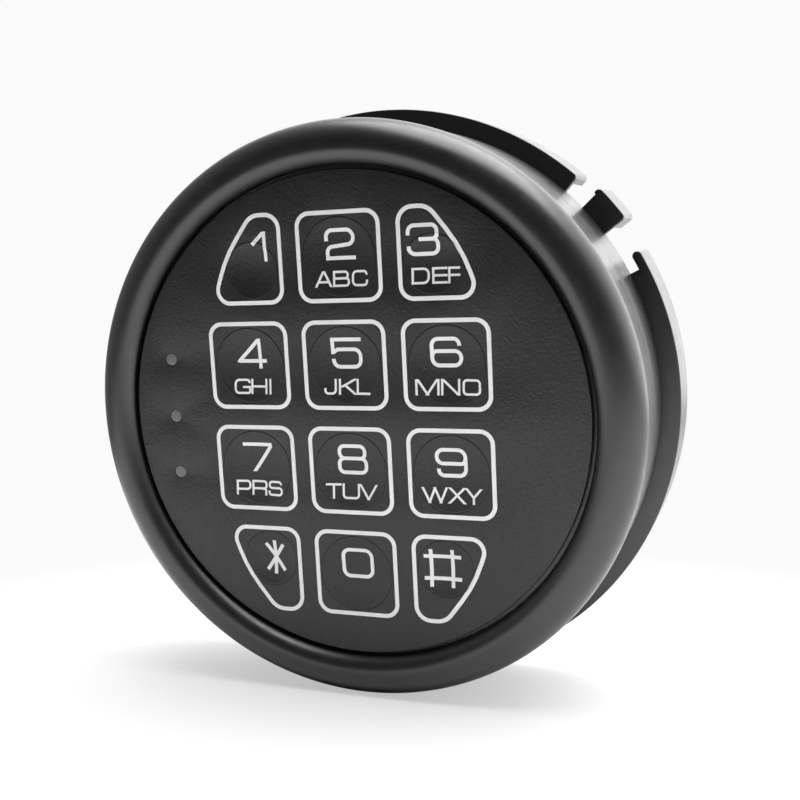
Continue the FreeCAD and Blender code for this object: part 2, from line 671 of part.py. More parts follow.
# Base
def tongue_and_notches(body):
    """Two notches in the flange at two o'clock, with the latch tongue between."""
    reach = TONGUE_RADIUS + OVER
    front = FLANGE_FRONT - OVER
    back = FACE_TO_DOOR + OVER
    left = sector(NOTCH_RADIUS, reach, TONGUE_TO, NOTCH_TO, front, back)
    right = sector(NOTCH_RADIUS, reach, NOTCH_FROM, TONGUE_FROM, front, back)
    finger = sector(RIM_INNER, FLANGE_RADIUS + FLANGE_DRAFT, NOTCH_FROM - 1, FINGER_TO, front, back)
    tongue = sector(NOTCH_RADIUS, TONGUE_RADIUS, TONGUE_FROM, TONGUE_TO, FLANGE_FRONT, CORE_FRONT)
    ear_foot = TONGUE_RADIUS - TONGUE_WALL
    wall = sector(ear_foot, TONGUE_RADIUS, TONGUE_FROM, EAR_TO, FLANGE_FRONT, FACE_TO_DOOR)
    body = body.cut([left, right.cut(finger)]).fuse([tongue, wall]).removeSplitter()
    heads = ((FLANGE_RADIUS, NOTCH_TO), (TONGUE_RADIUS, TONGUE_FROM), (TONGUE_RADIUS, EAR_TO),
             (FLANGE_RADIUS, FINGER_TO), (RIM_INNER, FINGER_TO))
    return rounded_corners(rounded_corners(body, CORNER_ROUND, heads), EAR_ROUND, ((ear_foot, EAR_TO),))


def rounded_corners(body, rounding, places):
    """Round the upright edges at some places, each given as a radius and degrees."""
    corners = []
    for radius, degrees in places:
        angle = math.radians(degrees)
        corners += upright_edges(body, radius * math.cos(angle), radius * math.sin(angle), rounding / 4)
    return body.makeFillet(rounding, corners)


def retaining_pocket(degrees):
    """Flat-bottomed pocket in the spigot for one spring clip."""
    length = CLIP_LENGTH + 2 * CLIP_ROOM
    pocket = Part.makeBox(CLIP_POCKET + OVER, CLIP_WIDTH + 2 * CLIP_ROOM, length,
                          spot(SPIGOT_RADIUS - CLIP_POCKET, SPIGOT_FRONT + SPIGOT_LEAD, -length / 2))
    return turn_to(pocket, degrees)


def retaining_clip(degrees):
    """Bowed spring strip that presses on the inside of the drum."""
    seat = SPIGOT_RADIUS - CLIP_POCKET
    crest = BORE_RADIUS - CLIP_CREST_GAP - CLIP_THICK
    half = CLIP_LENGTH / 2
    front = SPIGOT_FRONT + SPIGOT_LEAD + CLIP_ROOM
    outer = Part.Arc(spot(seat + CLIP_THICK, front, -half), spot(crest + CLIP_THICK, front, 0),
                     spot(seat + CLIP_THICK, front, half)).toShape()
    inner = Part.Arc(spot(seat, front, half), spot(crest, front, 0), spot(seat, front, -half)).toShape()
    ends = [Part.LineSegment(spot(seat + CLIP_THICK, front, half), spot(seat, front, half)).toShape(),
            Part.LineSegment(spot(seat, front, -half), spot(seat + CLIP_THICK, front, -half)).toShape()]
    strip = Part.Face(Part.Wire([outer, ends[0], inner, ends[1]])).extrude(Vector(0, CLIP_WIDTH, 0))
    return turn_to(strip, degrees)


def base_rib(degrees):
    """Rib on the plate from the cable boss to the spigot."""
    length = SPIGOT_BORE - CABLE_BOSS_RADIUS + 2 * BITE
    rib = Part.makeBox(length, BASE_RIB_HEIGHT + BITE, BASE_RIB_WIDTH,
                       spot(CABLE_BOSS_RADIUS - BITE, PLATE_FRONT - BASE_RIB_HEIGHT, -BASE_RIB_WIDTH / 2))
    return turn_to(rib, degrees)


def mounting_base():
    """Cast base: cored flange, ribbed plate, spigot, cable boss and fixing slots."""
    body = turned(profile([
        (0, PLATE_FRONT), (SPIGOT_BORE, PLATE_FRONT), (SPIGOT_BORE, SPIGOT_FRONT),
        (SPIGOT_RADIUS - SPIGOT_LEAD, SPIGOT_FRONT), (SPIGOT_RADIUS, SPIGOT_FRONT + SPIGOT_LEAD),
        (SPIGOT_RADIUS, FLANGE_FRONT), (FLANGE_RADIUS - FLANGE_EDGE, FLANGE_FRONT),
        (FLANGE_RADIUS, FLANGE_FRONT + FLANGE_EDGE), (FLANGE_RADIUS + FLANGE_DRAFT, FACE_TO_DOOR),
        (RIM_INNER, FACE_TO_DOOR), (RIM_INNER, CORE_FRONT), (SPIGOT_RADIUS, CORE_FRONT),
        (SPIGOT_RADIUS, FACE_TO_DOOR), (0, FACE_TO_DOOR)]))
    adds = [rod(CABLE_BOSS_RADIUS, FACE_TO_DOOR - CABLE_BOSS_LENGTH, FACE_TO_DOOR)]
    pad_front = PLATE_FRONT - FIXING_PAD_THICK
    for side in (-1, 1):
        adds.append(rod(FIXING_PAD_RADIUS, pad_front, FACE_TO_DOOR, side * FIXING_PITCH / 2, 0))
    adds += [base_rib(degrees) for degrees in BASE_RIB_ANGLES]
    body = body.fuse(adds)
    cuts = [rod(CABLE_RADIUS, FACE_TO_DOOR - CABLE_BOSS_LENGTH - OVER, FACE_TO_DOOR + OVER)]
    for side in (-1, 1):
        x = side * FIXING_PITCH / 2
        flat = FIXING_LENGTH - 2 * FIXING_RADIUS
        for end in (-1, 1):
            cuts.append(rod(FIXING_RADIUS, pad_front - OVER, FACE_TO_DOOR + OVER, x + end * flat / 2, 0))
        cuts.append(block(flat, FACE_TO_DOOR - pad_front + 2 * OVER, 2 * FIXING_RADIUS,
                          x, pad_front - OVER, 0))
    cuts += [retaining_pocket(degrees) for degrees in CLIP_ANGLES]
    return tongue_and_notches(body.cut(cuts))


def build():
    """Make and write every piece."""
    save("housing", housing())
    save("face_overlay", face_overlay())
    for name, x, z, radius in key_layout():
        save(name, dished_key(x, z, radius))
    for name, place in zip(("top", "middle", "bottom"), light_places()):
        save("light_window_" + name, light_window(*place))
    save("key_mat", key_mat())
    save("snap_domes", snap_domes())
    save("circuit_board", circuit_board())
    save("status_leds", status_leds())
    save("board_screws", Part.makeCompound([slotted_screw(x, z, BOARD_BACK) for x, z in post_places(1)]))
    save("tray_screws", Part.makeCompound([slotted_screw(x, z, BOARD_BACK + LUG_THICK)
                                           for x, z in post_places(-1)]))
    save("cable_socket", cable_socket())
    save("socket_contacts", socket_contacts())
    save("controller_chip", controller_chip())
    save("buzzer", buzzer())
    save("capacitor", capacitor())
    save("battery_tray", battery_tray())
    save("battery", battery())
    save("battery_connector", battery_connector())
    save("connector_strips", connector_strips())
    save("mounting_base", mounting_base())
    save("retaining_clips", Part.makeCompound([retaining_clip(degrees) for degrees in CLIP_ANGLES]))


build()
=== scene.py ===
# %% [markdown]
# # A round keypad for a safe, rendered as in a product photograph
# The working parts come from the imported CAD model. This lesson dresses them:
# smooth surfaces for what the eye sees, white print on the keys, a coating
# with a fine grain, and the light of a small white studio.

# %% Load the frame
import json
import math

import bmesh
import bpy
import numpy as np
from mathutils import Matrix, Vector
from mathutils.geometry import delaunay_2d_cdt

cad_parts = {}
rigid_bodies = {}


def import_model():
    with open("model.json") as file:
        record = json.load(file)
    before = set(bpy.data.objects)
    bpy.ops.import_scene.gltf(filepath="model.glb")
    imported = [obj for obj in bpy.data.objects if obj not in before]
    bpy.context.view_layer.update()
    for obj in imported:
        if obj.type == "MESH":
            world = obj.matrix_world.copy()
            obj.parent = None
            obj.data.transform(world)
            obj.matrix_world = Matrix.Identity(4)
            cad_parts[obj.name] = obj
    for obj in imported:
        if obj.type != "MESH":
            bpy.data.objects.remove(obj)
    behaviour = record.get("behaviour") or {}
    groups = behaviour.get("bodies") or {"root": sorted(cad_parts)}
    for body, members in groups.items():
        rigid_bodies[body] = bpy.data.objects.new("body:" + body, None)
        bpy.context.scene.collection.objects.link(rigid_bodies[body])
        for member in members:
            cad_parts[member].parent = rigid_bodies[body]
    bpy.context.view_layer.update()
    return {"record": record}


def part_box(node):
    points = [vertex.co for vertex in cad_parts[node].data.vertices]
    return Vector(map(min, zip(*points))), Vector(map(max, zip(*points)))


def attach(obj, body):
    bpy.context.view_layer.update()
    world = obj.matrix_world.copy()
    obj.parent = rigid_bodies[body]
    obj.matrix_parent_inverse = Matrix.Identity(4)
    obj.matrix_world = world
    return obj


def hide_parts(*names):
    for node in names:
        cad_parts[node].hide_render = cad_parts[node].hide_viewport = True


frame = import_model()
MM = 0.001

# %% [markdown]
# ## Camera
# The camera stands a little to the right of the keypad and above it, close
# enough for a strong perspective. Its place was solved once from the shape of
# the printed outlines. Its direction is written as a turn to the left, a look
# downwards and a small roll, which is easier to read than a matrix.

# %% Camera
CAMERA_RIGHT, CAMERA_AWAY, CAMERA_UP = 0.074709, 0.169056, 0.031467
CAMERA_PLACE = (CAMERA_RIGHT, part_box("face_overlay")[0][1] - CAMERA_AWAY, CAMERA_UP)
CAMERA_TURN, CAMERA_DOWN, CAMERA_ROLL = 20.967, 8.825, -2.866
CAMERA_LENS = 48.331

camera = bpy.data.objects.new("camera", bpy.data.cameras.new("camera"))
bpy.context.scene.collection.objects.link(camera)
camera.data.lens = CAMERA_LENS
camera.data.clip_start = 0.01
camera.matrix_world = (Matrix.Translation(CAMERA_PLACE)
                       @ Matrix.Rotation(math.radians(CAMERA_TURN), 4, "Z")
                       @ Matrix.Rotation(math.radians(90 - CAMERA_DOWN), 4, "X")
                       @ Matrix.Rotation(math.radians(CAMERA_ROLL), 4, "Z"))
bpy.context.scene.camera = camera
bpy.context.scene.view_settings.view_transform = "Standard"
print("camera:", CAMERA_LENS, "mm lens")

# %% [markdown]
# ## Sizes
# Every size is read from the frame where a node gives it, and the few sizes
# that no box can tell are named here in millimetres. Depths are counted from
# the front of the face towards the door, as in the drawing of the part.

# %% Sizes from the frame
def span(node, axis):
    """Lowest and highest value of a node along one axis, in millimetres."""
    low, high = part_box(node)
    return low[axis] / MM, high[axis] / MM


FACE_Y, face_back = span("face_overlay", 1)
FACE_THICK = face_back - FACE_Y
FACE_RADIUS = span("face_overlay", 0)[1]
RING_RADIUS = span("housing", 0)[1]
CREST = span("housing", 1)[0] - FACE_Y
WALL_END = span("housing", 1)[1] - FACE_Y
BOARD_FRONT = span("circuit_board", 1)[0] - FACE_Y
DOOR = span("mounting_base", 1)[1] - FACE_Y
SPIGOT_FRONT = span("mounting_base", 1)[0] - FACE_Y
print("face radius %.2f, bezel radius %.2f, crest %.2f, door %.2f" % (FACE_RADIUS, RING_RADIUS, CREST, DOOR))

# %% [markdown]
# ## Mesh tools
# A smooth surface is a grid: every point is worked out at once with numpy
# from two parameters, and the faces follow from the row and column numbers.
# Each shell is closed, its equal points are made one, and its faces are turned
# outwards. A piece is one or more such shells.

# %% Grids and shells
CREASE = 30


def grid_faces(rows, columns, wrap_rows=False):
    """Four-cornered faces of a grid whose columns close into a ring, row by row."""
    row = np.arange(rows if wrap_rows else rows - 1)
    row, column = (part.ravel() for part in np.meshgrid(row, np.arange(columns), indexing="ij"))
    below, beside = (row + 1) % rows, (column + 1) % columns
    return np.stack((row * columns + column, row * columns + beside,
                     below * columns + beside, below * columns + column), axis=1)


def make_piece(name, shells, body, finish, stands_for=()):
    """One object from closed shells given in millimetres, riding on a body.
    An edge that bends by more than CREASE degrees looks sharp."""
    points, faces, start = [], [], 0
    for shell_points, face_sets in shells:
        _, first, same = np.unique(np.round(shell_points, 5), axis=0, return_index=True, return_inverse=True)
        points.append(shell_points[first])
        for face_set in face_sets:
            corners = (dict.fromkeys(face) for face in (same.ravel()[face_set] + start).tolist())
            faces.extend(list(face) for face in corners if len(face) > 2)
        start += len(first)
    mesh = bpy.data.meshes.new(name)
    mesh.from_pydata(np.concatenate(points) * MM, [], faces)
    work = bmesh.new()
    work.from_mesh(mesh)
    bmesh.ops.recalc_face_normals(work, faces=work.faces)
    work.to_mesh(mesh)
    work.free()
    mesh.polygons.foreach_set("use_smooth", np.ones(len(mesh.polygons), bool))
    mesh.set_sharp_from_angle(angle=math.radians(CREASE))
    mesh.materials.append(finish)
    piece = bpy.data.objects.new(name, mesh)
    bpy.context.scene.collection.objects.link(piece)
    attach(piece, body)
    if stands_for:
        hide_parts(*stands_for)
    print("%s: %d points, %d faces" % (name, len(mesh.vertices), len(mesh.polygons)))


# %% Turned shells and blocks
def arc(centre, radius, start, stop, count):
    """Points centre + radius * (cos, -sin) of angles from start to stop in degrees."""
    angle = np.radians(np.linspace(start, stop, count))
    return np.stack((centre[0] + radius * np.cos(angle), centre[1] - radius * np.sin(angle)), axis=1)


def joined(*parts):
    """One profile of (radius, depth) rows from single points and arcs."""
    return np.concatenate([np.atleast_2d(np.asarray(part, float)) for part in parts])


def ring_points(profile, x, z, segments):
    """Each (radius, depth) row turned about a line along Y: x + r cos t, z + r sin t."""
    angle = np.linspace(0, 2 * math.pi, segments, endpoint=False)
    radius, depth = profile[:, :1], profile[:, 1:]
    return np.stack((x + radius * np.cos(angle), FACE_Y + depth + 0 * angle,
                     z + radius * np.sin(angle)), axis=2).reshape(-1, 3)


def turned_ring(profile, x=0.0, z=0.0, segments=96):
    """Closed profile turned about a line along Y."""
    return ring_points(profile, x, z, segments), [grid_faces(len(profile), segments, True)]


def turned_solid(profile, x, z, segments):
    """Profile whose first and last points lie on the axis, where one point closes each end."""
    points = ring_points(profile[1:-1], x, z, segments)
    poles = np.array([(x, FACE_Y + profile[0, 1], z), (x, FACE_Y + profile[-1, 1], z)])
    here = np.arange(segments)
    beside = (here + 1) % segments
    last = len(points) - segments
    front = np.stack((beside, here, np.full(segments, len(points))), axis=1)
    back = np.stack((last + here, last + beside, np.full(segments, len(points) + 1)), axis=1)
    return np.concatenate((points, poles)), [grid_faces(len(profile) - 2, segments), front, back]


def spoke(inner, outer, width, front, back, degrees):
    """Block along a radius between two depths, turned from +X towards +Z."""
    corners = np.array([(r, FACE_Y + depth, side) for r in (inner, outer)
                        for depth in (front, back) for side in (-width / 2, width / 2)])
    c, s = math.cos(math.radians(degrees)), math.sin(math.radians(degrees))
    points = np.stack((corners[:, 0] * c - corners[:, 2] * s, corners[:, 1],
                       corners[:, 0] * s + corners[:, 2] * c), axis=1)
    faces = np.array([(0, 1, 3, 2), (4, 6, 7, 5), (0, 4, 5, 1), (2, 3, 7, 6), (0, 2, 6, 4), (1, 5, 7, 3)])
    return points, [faces]


# %% Loops and what lies inside them
def circle(x, z, radius, count=96):
    """A function that gives a circle's points, grown by a distance."""
    angle = np.linspace(0, 2 * math.pi, count, endpoint=False)
    spokes = np.stack((np.cos(angle), np.sin(angle)), axis=1)
    return lambda grow: np.array((x, z)) + (radius + grow) * spokes


def inside(points, loop):
    """Whether points lie in a closed loop: the edges to their right, counted
    up as plus one and down as minus one, don't add up to nothing."""
    x, z = points[:, :1], points[:, 1:]
    x0, z0 = loop[:, 0], loop[:, 1]
    x1, z1 = np.roll(x0, -1), np.roll(z0, -1)
    with np.errstate(divide="ignore", invalid="ignore"):
        right = x < x0 + (z - z0) * (x1 - x0) / (z1 - z0)
    up = (z0 <= z) & (z1 > z) & right
    down = (z1 <= z) & (z0 > z) & right
    return up.sum(axis=1) != down.sum(axis=1)


def laid(loop, depth):
    """Points of a flat loop of x and z, laid at a depth."""
    return np.stack((loop[:, 0], np.full(len(loop), FACE_Y + depth), loop[:, 1]), axis=1)


def triangulate(loops):
    """Constrained triangulation of closed loops: points, triangles, and where points came from."""
    edges, start = [], 0
    for loop in loops:
        edges += [(start + k, start + (k + 1) % len(loop)) for k in range(len(loop))]
        start += len(loop)
    flat = [Vector(point) for point in np.concatenate(loops).tolist()]
    points, _, faces, origin, _, _ = delaunay_2d_cdt(flat, edges, [], 0, 1e-6)
    return np.array([tuple(p) for p in points]), np.array(faces), origin


# %% Plates with windows
def plate(rim, windows, front, back, window_edge=0.05, steps=3):
    """A flat plate with windows. The rim is a grid of rings from the front face
    round the outside to the back face; each window is a loop with a quarter
    round at its front edge. Both flat faces are filled between their loops."""
    turn = np.linspace(0, math.pi / 2, steps + 1)
    grows = np.append(window_edge * (1 - np.sin(turn)), 0.0)
    depths = np.append(front + window_edge * (1 - np.cos(turn)), back)
    grids = [rim] + [np.stack([laid(window(grow), depth) for grow, depth in zip(grows, depths)])
                     for window in windows]
    quads, front_ids, back_ids, start = [], [], [], 0
    for grid in grids:
        rows, count = grid.shape[:2]
        quads.append(start + grid_faces(rows, count))
        front_ids.append(start + np.arange(count))
        back_ids.append(start + (rows - 1) * count + np.arange(count))
        start += rows * count
    points = np.concatenate([grid.reshape(-1, 3) for grid in grids])
    caps = []
    for ids in (front_ids, back_ids):
        loops = [points[loop][:, (0, 2)] for loop in ids]
        flat, triangles, origin = triangulate(loops)
        middle = flat[triangles].mean(axis=1)
        keep = inside(middle, loops[0])
        for loop in loops[1:]:
            keep &= ~inside(middle, loop)
        source = np.array([where[0] for where in origin])
        caps.append(np.concatenate(ids)[source[triangles[keep]]])
    return points, [np.concatenate(quads)] + caps


def round_rim(profile, segments):
    """Rings of a plate's rim from (radius, depth) rows, all round."""
    return ring_points(profile, 0, 0, segments).reshape(len(profile), segments, 3)


# %% [markdown]
# ## Finishes
# The drum and its base are zinc castings with a thin satin black coating. The
# face and the keys have a fine leather grain, which breaks up their gloss. A
# black product gets its look from what it reflects, so the colour stays near
# black and the roughness and the bump do the work. Patterns read Object
# coordinates in metres, so a scale of 1000 makes cells of a millimetre.

# %% Shader tools
# Most values of a noise lie between these two.
NOISE_LOW, NOISE_HIGH = 0.3, 0.7


def new_finish(name, colour, roughness, metallic=0.0, ior=1.5):
    """A Principled material; numbers that never change are set on its own sockets."""
    finish = bpy.data.materials.new(name)
    finish.use_nodes = True
    shader = finish.node_tree.nodes["Principled BSDF"]
    shader.inputs["Base Color"].default_value = (*colour, 1)
    shader.inputs["Roughness"].default_value = roughness
    shader.inputs["Metallic"].default_value = metallic
    shader.inputs["IOR"].default_value = ior
    return finish


def add_node(finish, kind, **values):
    """A node of a finish or the world, with some of its input sockets set by name."""
    node = finish.node_tree.nodes.new(kind)
    for name, value in values.items():
        node.inputs[name.replace("_", " ")].default_value = value
    return node


def wire(finish, source, socket, target, entry):
    """A link from an output socket of one node to an input socket of another."""
    finish.node_tree.links.new(source.outputs[socket], target.inputs[entry])


def noise(finish, size_mm, detail=3.0, stretch=(1, 1, 1)):
    """Noise on Object coordinates whose blotches are about size_mm across."""
    place = add_node(finish, "ShaderNodeTexCoord")
    mapping = add_node(finish, "ShaderNodeMapping", Scale=stretch)
    texture = add_node(finish, "ShaderNodeTexNoise", Scale=1 / (size_mm * MM), Detail=detail)
    wire(finish, place, "Object", mapping, "Vector")
    wire(finish, mapping, "Vector", texture, "Vector")
    return texture


def cells(finish, size_mm):
    """Rounded cells on Object coordinates, about size_mm across, a little bent by noise."""
    place = add_node(finish, "ShaderNodeTexCoord")
    bend = noise(finish, 2 * size_mm, 2.0)
    mix = add_node(finish, "ShaderNodeVectorMath")
    mix.operation = "MULTIPLY_ADD"
    mix.inputs[1].default_value = (size_mm * MM,) * 3
    wire(finish, bend, "Color", mix, 0)
    wire(finish, place, "Object", mix, 2)
    texture = add_node(finish, "ShaderNodeTexVoronoi", Scale=1 / (size_mm * MM), Randomness=1.0)
    texture.feature = "SMOOTH_F1"
    wire(finish, mix, "Vector", texture, "Vector")
    return texture


def smooth_step(finish, source, start, end, low, high):
    """A smooth step of a node's value: low up to start, high from end on."""
    step = add_node(finish, "ShaderNodeMapRange", From_Min=start, From_Max=end, To_Min=low, To_Max=high)
    step.interpolation_type = "SMOOTHSTEP"
    wire(finish, source, "Value", step, "Value")
    return step


def vary(finish, texture, low, high):
    """The texture drives the roughness between two values."""
    level = add_node(finish, "ShaderNodeMapRange", From_Min=NOISE_LOW, From_Max=NOISE_HIGH,
                     To_Min=low, To_Max=high)
    wire(finish, texture, "Fac", level, "Value")
    wire(finish, level, "Result", finish.node_tree.nodes["Principled BSDF"], "Roughness")


def tint(finish, texture, low, high):
    """The texture blends the base colour between two colours."""
    ramp = add_node(finish, "ShaderNodeValToRGB")
    for element, place, colour in zip(ramp.color_ramp.elements, (NOISE_LOW, NOISE_HIGH), (low, high)):
        element.position = place
        element.color = (*colour, 1)
    wire(finish, texture, "Fac", ramp, "Fac")
    wire(finish, ramp, "Color", finish.node_tree.nodes["Principled BSDF"], "Base Color")


def emboss(finish, height_um, texture, output="Fac", before=None):
    """A bump of some micrometres from a texture, on top of an earlier bump."""
    bump = add_node(finish, "ShaderNodeBump", Strength=1.0, Distance=height_um * 1e-6)
    wire(finish, texture, output, bump, "Height")
    if before:
        wire(finish, before, "Normal", bump, "Normal")
    wire(finish, bump, "Normal", finish.node_tree.nodes["Principled BSDF"], "Normal")
    return bump


# %% Finish of the castings, the face and the keys
def casting_coat(name):
    """Satin black coating: faint waves of the casting under a fine orange peel."""
    finish = new_finish(name, (0.006, 0.0062, 0.0068), 0.34, ior=1.7)
    vary(finish, noise(finish, 1.5), 0.3, 0.37)
    waves = emboss(finish, 3, noise(finish, 3.0, 1.0))
    emboss(finish, 3, noise(finish, 0.3, 3.0), before=waves)
    return finish


def leather_grain(name, shade):
    """Black plastic with a pebbled grain of less than half a millimetre."""
    finish = new_finish(name, shade, 0.38, ior=1.55)
    pebbles = cells(finish, 0.42)
    vary(finish, noise(finish, 0.4), 0.36, 0.5)
    tint(finish, noise(finish, 0.6), tuple(0.8 * c for c in shade), tuple(1.3 * c for c in shade))
    large = emboss(finish, 42, pebbles, "Distance")
    emboss(finish, 16, noise(finish, 0.2, 2.0), before=large)
    return finish


drum_black = casting_coat("drum_black")
base_black = casting_coat("base_black")
face_black = leather_grain("face_black", (0.009, 0.0095, 0.0105))
key_black = leather_grain("key_black", (0.008, 0.0085, 0.0095))
print("finishes:", [finish.name for finish in (drum_black, base_black, face_black, key_black)])


# %% Print and light windows
def print_white():
    """Screen printed white: nearly flat, a little uneven where the grain shows through."""
    finish = new_finish("print_white", (0.93, 0.93, 0.94), 0.4, ior=1.6)
    tint(finish, noise(finish, 0.5), (0.91, 0.91, 0.92), (0.95, 0.95, 0.96))
    emboss(finish, 6, cells(finish, 0.55), "Distance")
    return finish


def smoked_window():
    """Smoked clear plastic over an unlit lamp."""
    finish = new_finish("light_window", (0.19, 0.195, 0.2), 0.3, ior=1.5)
    tint(finish, noise(finish, 0.7), (0.11, 0.115, 0.12), (0.17, 0.175, 0.18))
    emboss(finish, 3, noise(finish, 0.4))
    return finish


ink_finish = print_white()
window_finish = smoked_window()

# %% [markdown]
# ## The drum
# The drum is one casting: a straight wall, a round bezel like a half pipe, a
# recess for the face and a web behind it with a window for every key. The
# outside is a profile turned about the axis. The web's flat sides can't be
# turned, because of their windows, so they are filled between the loops.

# %% Layout of the keys and lights
COLUMN_PITCH, ROW_PITCH = 18.55, 18.7
WINDOW_CLEARANCE = 0.03
KEY_NAMES = ("1", "2", "3", "4", "5", "6", "7", "8", "9", "star", "0", "hash")
CELLS = {name: ((number % 3 - 1) * COLUMN_PITCH, (1.5 - number // 3) * ROW_PITCH)
         for number, name in enumerate(KEY_NAMES)}
KEYS = {}
for name in KEY_NAMES:
    low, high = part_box("key_" + name)
    KEYS[name] = ((low[0] + high[0]) / 2 / MM, (low[2] + high[2]) / 2 / MM, (high[0] - low[0]) / 2 / MM)
KEY_COLLAR = 0.75
LIGHTS = []
for place in ("top", "middle", "bottom"):
    low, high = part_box("light_window_" + place)
    LIGHTS.append((place, (low[0] + high[0]) / 2 / MM, (low[2] + high[2]) / 2 / MM))
LIGHT_RADIUS, LIGHT_CLEARANCE, LIGHT_SINK = 1.15, 0.05, 0.05
print("keys:", {name: tuple(round(v, 2) for v in place) for name, place in KEYS.items()})


def windows(clearance):
    """Loops of all key and light windows in the face and the web."""
    loops = [circle(x, z, radius - KEY_COLLAR + clearance) for x, z, radius in KEYS.values()]
    return loops + [circle(x, z, LIGHT_RADIUS + LIGHT_CLEARANCE, 48) for _, x, z in LIGHTS]


# %% Drum
RING_ROUND, INNER_ROUND, LIP_ANGLE, RING_SKIN = 4.9, 3.0, 18.2, 2.3
WALL_RADIUS, BORE_RADIUS = RING_RADIUS - 0.25, RING_RADIUS - 2.25
WEB_BACK, GLUE_GROOVE = FACE_THICK + 1.6, 0.6
RING_CENTRE = RING_RADIUS - RING_ROUND
RING_DEPTH = CREST + RING_ROUND
LIP_RADIUS = RING_CENTRE - INNER_ROUND * math.cos(math.radians(LIP_ANGLE))
STEP_FROM, STEP_TO = RING_DEPTH + 1.0, RING_DEPTH + 1.4
GROOVE_RADIUS, GROOVE_DEPTH = FACE_RADIUS - 0.1, FACE_THICK + GLUE_GROOVE
POST_RADIUS, POST_BORE, POST_FRONT, POST_INSET = 3.4, 1.3, 2.1, 2.4
AROUND = 360


def drum_rim():
    """Section of the drum from the front of its web round the outside to the back
    of its web. It starts with a glue groove below the edge of the face."""
    outer, inner = (RING_CENTRE, RING_DEPTH), (RING_CENTRE, CREST + INNER_ROUND)
    return joined((GROOVE_RADIUS, FACE_THICK), (GROOVE_RADIUS, GROOVE_DEPTH), (LIP_RADIUS, GROOVE_DEPTH),
                  arc(inner, INNER_ROUND, 180 - LIP_ANGLE, 90, 14)[:-1],
                  arc(outer, RING_ROUND, 90, 0, 24), (RING_RADIUS, STEP_FROM - 0.1),
                  (RING_RADIUS - 0.03, STEP_FROM), (WALL_RADIUS, STEP_TO), (WALL_RADIUS, 12.0),
                  (WALL_RADIUS, WALL_END - 0.15), (WALL_RADIUS - 0.05, WALL_END - 0.04),
                  (WALL_RADIUS - 0.15, WALL_END), (BORE_RADIUS, WALL_END), (BORE_RADIUS, RING_DEPTH),
                  arc(outer, RING_ROUND - RING_SKIN, 0, 90, 10)[1:], (RING_CENTRE - 1, CREST + RING_SKIN),
                  (LIP_RADIUS + 1, WEB_BACK))


def drum_inside():
    """Fins in the hollow bezel, ribs on the wall and the four screw posts."""
    shells = [spoke(LIP_RADIUS, BORE_RADIUS + 0.1, 1.2, CREST + RING_SKIN, RING_DEPTH + 2.6, 30 * k + 15)
              for k in range(12)]
    shells += [spoke(BORE_RADIUS - 2.2, BORE_RADIUS + 0.1, 2.4, RING_DEPTH, SPIGOT_FRONT - 0.4, 60 * k)
               for k in range(4)]
    post = joined((POST_BORE, POST_FRONT), (POST_RADIUS, POST_FRONT), (POST_RADIUS, BOARD_FRONT),
                  (POST_BORE, BOARD_FRONT))
    posts = [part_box(node) for node in ("board_screws", "tray_screws")]
    for low, high in posts:
        z = (low[2] + high[2]) / 2 / MM
        for x in (low[0] / MM + POST_INSET, high[0] / MM - POST_INSET):
            shells.append(turned_ring(post, x, z, 48))
    return shells


casting = plate(round_rim(drum_rim(), AROUND), windows(WINDOW_CLEARANCE), FACE_THICK, WEB_BACK)
make_piece("drum", [casting] + drum_inside(), "keypad", drum_black, ("housing",))

# %% [markdown]
# ## The face and the keys
# The face is a thin disc that lies in the recess, with a narrow groove all
# round. Each key is a turned piece: a shallow dish in front, a straight side
# and a collar that keeps it behind the web. The dish is part of a sphere, so
# its depth at a radius r is depth + sqrt(R^2 - r^2) - R.

# %% Face
FACE_EDGE = 0.25


def face_rim():
    """Rounded front edge, straight side and sharp back edge of the face."""
    turn = np.linspace(0, math.pi / 2, 6)
    rounding = np.stack((FACE_RADIUS - FACE_EDGE * (1 - np.sin(turn)),
                         FACE_EDGE * (1 - np.cos(turn))), axis=1)
    return joined(rounding, (FACE_RADIUS, FACE_THICK))


disc = plate(round_rim(face_rim(), AROUND), windows(WINDOW_CLEARANCE), 0.0, FACE_THICK)
make_piece("face", [disc], "keypad", face_black, ("face_overlay",))

# %% Keys
DISH_DEPTH, KEY_LAND, KEY_EDGE = 0.65, 0.2, 0.06
KEY_BACK = span("key_5", 1)[1] - FACE_Y
COLLAR_FRONT = KEY_BACK - 0.8


def dish(r, key_radius):
    """Depth of a key's front at the radius r: a bowl inside, flat on the land."""
    edge = key_radius - KEY_LAND
    bowl = (edge ** 2 + DISH_DEPTH ** 2) / (2 * DISH_DEPTH)
    return DISH_DEPTH + np.sqrt(bowl ** 2 - np.minimum(r, edge) ** 2) - bowl


def key_shell(x, z, outer):
    """The turned body of one key."""
    radius = outer - KEY_COLLAR
    land = radius - KEY_LAND
    rows = np.append(np.linspace(0, land, 28), np.linspace(land, radius - KEY_EDGE, 4)[1:])
    front = np.stack((rows, dish(rows, radius)), axis=1)
    side = joined((radius - 0.02, 0.02), (radius, KEY_EDGE), (radius, COLLAR_FRONT), (outer, COLLAR_FRONT),
                  (outer, KEY_BACK), (0, KEY_BACK))
    return turned_solid(joined(front, side), x, z, 96)


for name, place in KEYS.items():
    make_piece("keycap_" + name, [key_shell(*place)], "button_" + name, key_black,
               ("key_" + name,))

